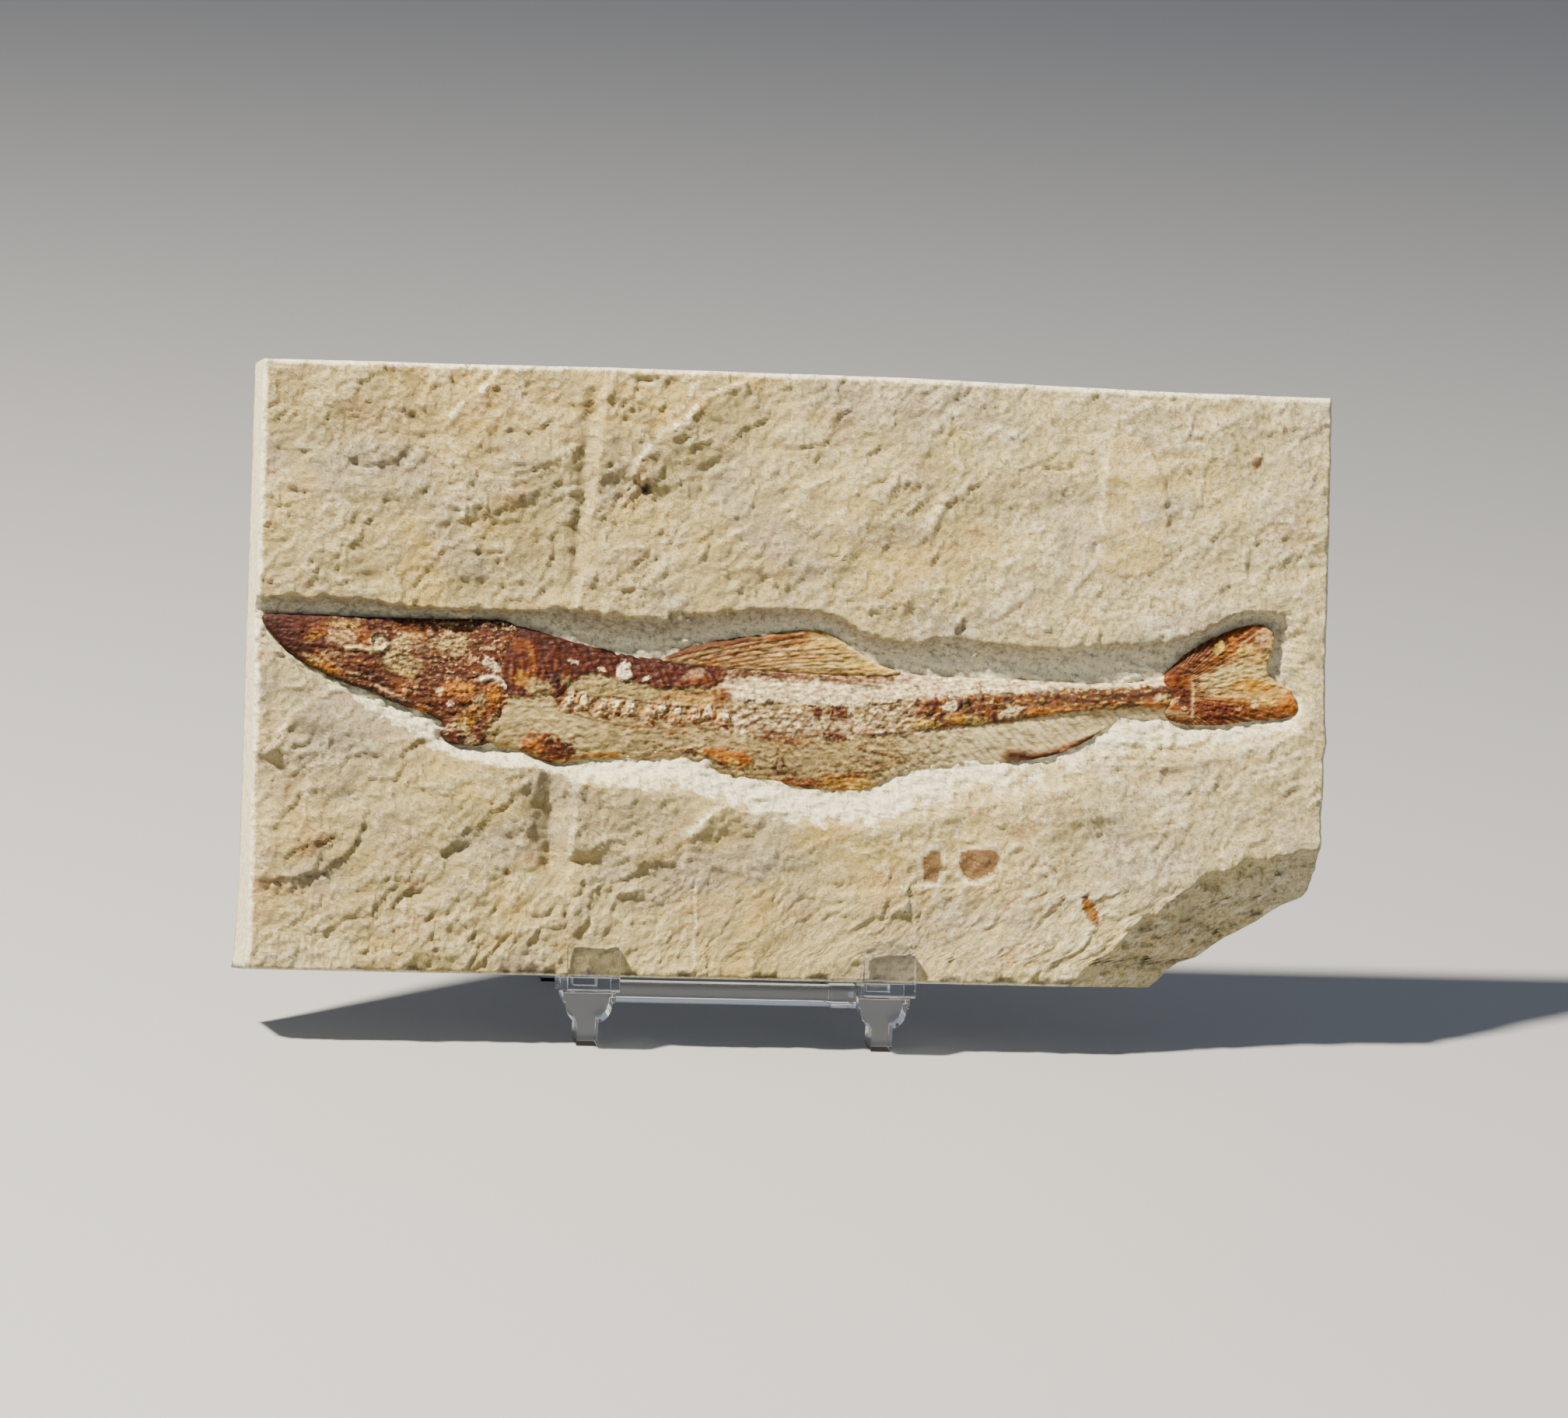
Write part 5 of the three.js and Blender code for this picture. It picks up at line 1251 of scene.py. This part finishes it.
# ---------------------------------------------------------------- the dorsal fin
# A tall fin folded back along the body: straight dark rays close together at its front edge,
# spreading over a thin yellow membrane behind.
dorsal_outline = rounded([
    [89.4, 69.6], [92, 71.4], [96, 73.0], [101, 74.5], [110, 76.0], [120, 77.5], [125.2, 77.9],
    [130, 76.0], [134, 73.3], [139, 70.3], [145, 68.9], [141, 67.6], [130, 67.4], [118, 68.0],
    [104, 68.3], [94, 68.8]])
dorsal = Relief("dorsal_fin", (88.5, 146), (66.5, 79), cell=0.2, outline=dorsal_outline, ground="cream")
u, v = dorsal.u, dorsal.v
dorsal.lay(0.9 * dorsal.blotches(7, 1.5, 403, -0.6, 0.2), "ochre")
dorsal.lay(0.7 * smooth(118, 131, u + 0.5 * (74 - v)), "straw")
dorsal.lay(0.75 * smooth(124, 106, u), "copper")
dorsal.lay(0.3 * dorsal.blotches(5, 1.5, 404, -0.5, 0.5), "olive")
dorsal.lay(0.5 * dorsal.blotches(6, 1.2, 401, 0.0, 0.6), "olive")
dorsal.lay(0.9 * smooth(1.3, 0.7, dorsal.depth_in) * smooth(122, 108, u) * smooth(70, 71, v), "umber", 0.1)
rays = []
for k in range(9):
    spread = k / 8
    start = (90.2 + 27 * spread, 70.1 - 1.5 * spread)
    bend = (104.0 + 22 * spread, 74.0 - 4.6 * spread)
    tip = (123.5 + 14 * spread - 6 * math.sin(spread * 9), 76.9 - 7.6 * spread)
    ray_colour = ("rust", "umber")[k % 2]
    rays.append((ray_colour, [start, bend, tip], 0.34 - 0.1 * spread, 1.0 - 0.45 * spread, 0.22))
    rays.append(("cream", [(x + 0.2, y - 0.42) for x, y in (start, bend, tip)], 0.16, 0.45, 0.08))
dorsal.lines(rays)
dorsal.lines([
    ("copper", [(113, 75.4), (119, 76.0), (123.5, 76.2)], 0.6, 0.8, 0.15),
    ("rust", [(116, 74.2), (120, 75.1), (125, 75.5)], 0.4, 0.6, 0.1),
    ("umber", [(125, 67.9), (130, 68.2), (136, 68.4)], 0.4, 0.8, 0.1),
    ("umber", [(124, 69.0), (130, 69.3), (135, 69.4)], 0.25, 0.6, 0.1),
    ("cream", [(125.6, 77.5), (130, 75.6), (134, 72.9), (138.4, 70.3), (144, 68.8)], 0.45, 0.9, 0.1)])
dorsal.lay(0.4 * dorsal.blotches(2.4, 0.6, 402, 0.2, 0.6, 2) * smooth(69.8, 68.6, v), "umber", 0.1)
dorsal.finish(bulge=0.35, plateau=1.6, material=bone.material, base=0.55)

# ---------------------------------------------------------------- the tail fin
# A forked tail: two rusty lobes of close rays with a pale yellow web of rays between them.
tail_outline = rounded([
    [203, 69.2], [206, 72.4], [209.6, 75.6], [214.6, 78.6], [220, 80.9], [224.7, 82.2],
    [227.8, 81.3], [229.0, 79.2], [228.4, 76.6], [227.4, 73.6], [227.2, 71.0], [230.0, 68.9],
    [232.8, 67.4], [234.5, 64.6], [234.2, 62.1], [231, 60.9], [221, 60.0], [217, 59.0],
    [208.3, 59.0], [203.6, 60.6], [205.2, 65]])
tail = Relief("tail_fin", (202, 236), (57.5, 84), cell=0.18, outline=tail_outline, ground="copper")
u, v = tail.u, tail.v
from_root_u, from_root_v = u - 203.5, v - 65.6
ray_angle = np.degrees(np.arctan2(from_root_v, from_root_u))
ray_reach = np.hypot(from_root_v, from_root_u)
ray_wave = np.abs(np.cos(np.radians(ray_angle) * 52 + 0.5 * rough(u / 5, v / 5, 502)))
web = smooth(-4, 2, ray_angle) * smooth(32, 24, ray_angle + 3 * rough(u / 3, v / 3, 503))
web *= smooth(7, 12, ray_reach)
tail.lay(0.7 * tail.blotches(3, 1.5, 501, -0.3, 0.4), "rust", 0.0, 0.35)
tail.lay(0.4 * tail.blotches(4, 2, 505, 0.0, 0.5), "orange")
tail.lay(0.9 * web, "straw", -0.1)
tail.lay(0.4 * web, "ivory")
tail.lay(0.5 * smooth(62.5, 65, v) * smooth(70, 67.5, v) * smooth(213, 218, u), "ochre", 0.03)
tail.lay(0.5 * web * tail.blotches(4, 1.0, 504, 0.1, 0.5, 2) * smooth(222, 212, u), "rust", 0.05)
tail.lay((0.32 - 0.14 * web) * (1 - ray_wave) * smooth(5, 8, ray_reach), "umber", -0.1)
tail.lay(0.35 * smooth(0.75, 1.0, ray_wave) * smooth(5, 8, ray_reach), "cream", 0.06)
tail.patches([
    ("rust", (208.0, 71.6), (3.6, 2.2), 42, 0.7, 0.1), ("rust", (211.5, 74.8), (4.0, 1.1), 38, 0.8, 0.1),
    ("copper", (219.6, 79.3), (4.0, 1.3), 24, 0.9, 0.1), ("orange", (218.2, 76.0), (1.3, 3.6), -8, 0.6, 0.0),
    ("copper", (214.8, 72.6), (3.2, 1.6), 38, 0.7, 0.0),
    ("straw", (215.7, 76.5), (1.2, 1.5), -20, 1.0, 0.1), ("straw", (221.7, 76.2), (1.9, 1.2), 10, 0.95, 0.1),
    ("pink", (226.2, 78.6), (2.0, 2.4), 10, 0.75, 0.1), ("copper", (225.6, 76.2), (1.6, 1.5), 0, 0.55, 0.0),
    ("copper", (221.4, 74.0), (3.4, 0.9), 20, 0.65, 0.0), ("ochre", (224.6, 74.2), (2.4, 1.3), 10, 0.6, 0.0),
    ("ochre", (223.4, 68.4), (4.4, 1.4), -4, 0.9, 0.05), ("ochre", (226.0, 67.6), (4.4, 1.8), -10, 0.6, 0.0),
    ("copper", (216.5, 62.6), (7.0, 2.3), 3, 0.95, 0.15), ("rust", (214.9, 62.2), (5.2, 2.4), 0, 0.9, 0.05),
    ("rust", (219.4, 62.7), (5.4, 0.9), -4, 0.6, 0.05), ("copper", (227.2, 62.2), (5.0, 1.2), 4, 0.85, 0.1),
    ("umber", (212.6, 66.0), (2.2, 0.9), 10, 0.6, 0.0), ("umber", (216.4, 66.4), (2.2, 0.6), 4, 0.6, 0.0),
    ("orange", (231.9, 64.2), (2.3, 2.5), 20, 0.95, 0.1), ("straw", (227.4, 65.0), (1.9, 1.1), -8, 0.95, 0.1),
    ("cream", (224.4, 64.2), (0.8, 0.9), 0, 0.95, 0.1), ("pink", (220.4, 63.0), (0.9, 0.6), 0, 0.4, 0.1),
    ("maroon", (206.5, 66.2), (2.2, 1.4), 20, 0.8, 0.15), ("pink", (206.0, 64.2), (1.4, 0.7), 20, 0.7, 0.1),
    ("maroon", (208.6, 64.4), (1.3, 2.2), 0, 0.8, 0.1), ("pink", (208.2, 62.6), (0.7, 0.5), 0, 0.9, 0.2),
    ("olive", (206.4, 61.4), (3.0, 0.8), -6, 0.7, 0.0), ("maroon", (209.6, 59.9), (3.6, 0.5), 0, 0.7, 0.0)])
tail.lines([
    ("pink", [(210.2, 60), (210.1, 64), (210.3, 67), (209.5, 69.6)], 0.4, 0.75, 0.12),
    ("maroon", [(204, 69.6), (208, 73.6), (213.6, 77.6), (219.6, 80.4)], 0.35, 0.5, 0.1),
    ("umber", [(211, 66.9), (216, 67.6), (222, 66.8)], 0.22, 0.7, 0.0),
    ("cream", [(211.4, 69.0), (216, 70.6), (222, 72.8)], 0.4, 0.7, 0.1),
    ("cream", [(211.4, 68.0), (217, 68.6), (220, 69.0)], 0.3, 0.6, 0.1)])
tail.edge = 0.5 + 1.2 * smooth(66, 76, v)
tail.finish(bulge=0.6, plateau=3.0, material=bone.material, base=1.0)

# ---------------------------------------------------------------- the clear stand
# Two moulded clear plastic arms joined by two bars. Each arm has a front lip, a shelf the slab
# stands on, a rest that leans back with it, and a round-sided front foot over a narrow peg.
# The pieces keep the frame's own shapes, with their edges rounded as a mould leaves them.
mould_radius = 0.0006
plastic = Wiring("clear_acrylic")
where = plastic.place()
plastic.shader.inputs["Base Color"].default_value = (0.97, 0.985, 0.99, 1)
plastic.shader.inputs["Transmission Weight"].default_value = 1.0
plastic.shader.inputs["IOR"].default_value = 1.49
smears = plastic.noise(where, 120, 4, 0.6)
plastic.feed(plastic.ramp(smears, 0.35, 0.75, 0.02, 0.12), plastic.shader.inputs["Roughness"])
plastic.feed(plastic.bump(plastic.noise(where, 160, 2), 0.0002, 0.15), plastic.shader.inputs["Normal"])
for node_name, plain_name in (
        ("stand_left_arm", "left_arm"), ("stand_right_arm", "right_arm"),
        ("stand_front_bar", "front_bar"), ("stand_rear_bar", "rear_bar")):
    moulded = bmesh.new()
    moulded.from_mesh(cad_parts[node_name].data)
    bmesh.ops.transform(moulded, matrix=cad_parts[node_name].matrix_world, verts=moulded.verts)
    bmesh.ops.remove_doubles(moulded, verts=moulded.verts, dist=0.00002)
    bmesh.ops.dissolve_limit(moulded, angle_limit=math.radians(2), verts=moulded.verts, edges=moulded.edges)
    sharp = [e for e in moulded.edges if e.is_manifold and e.calc_face_angle(0) > math.radians(30)]
    bmesh.ops.bevel(
        moulded, geom=sharp, offset=mould_radius, segments=3, profile=0.5, affect="EDGES", material=-1,
        clamp_overlap=True)
    bmesh.ops.recalc_face_normals(moulded, faces=moulded.faces)
    moulded_mesh = bpy.data.meshes.new("plastic_" + plain_name)
    moulded.to_mesh(moulded_mesh)
    moulded.free()
    moulded_mesh.materials.append(plastic.material)
    moulded_piece = bpy.data.objects.new("plastic_" + plain_name, moulded_mesh)
    bpy.context.scene.collection.objects.link(moulded_piece)
    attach(moulded_piece, "root")
    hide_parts(node_name)
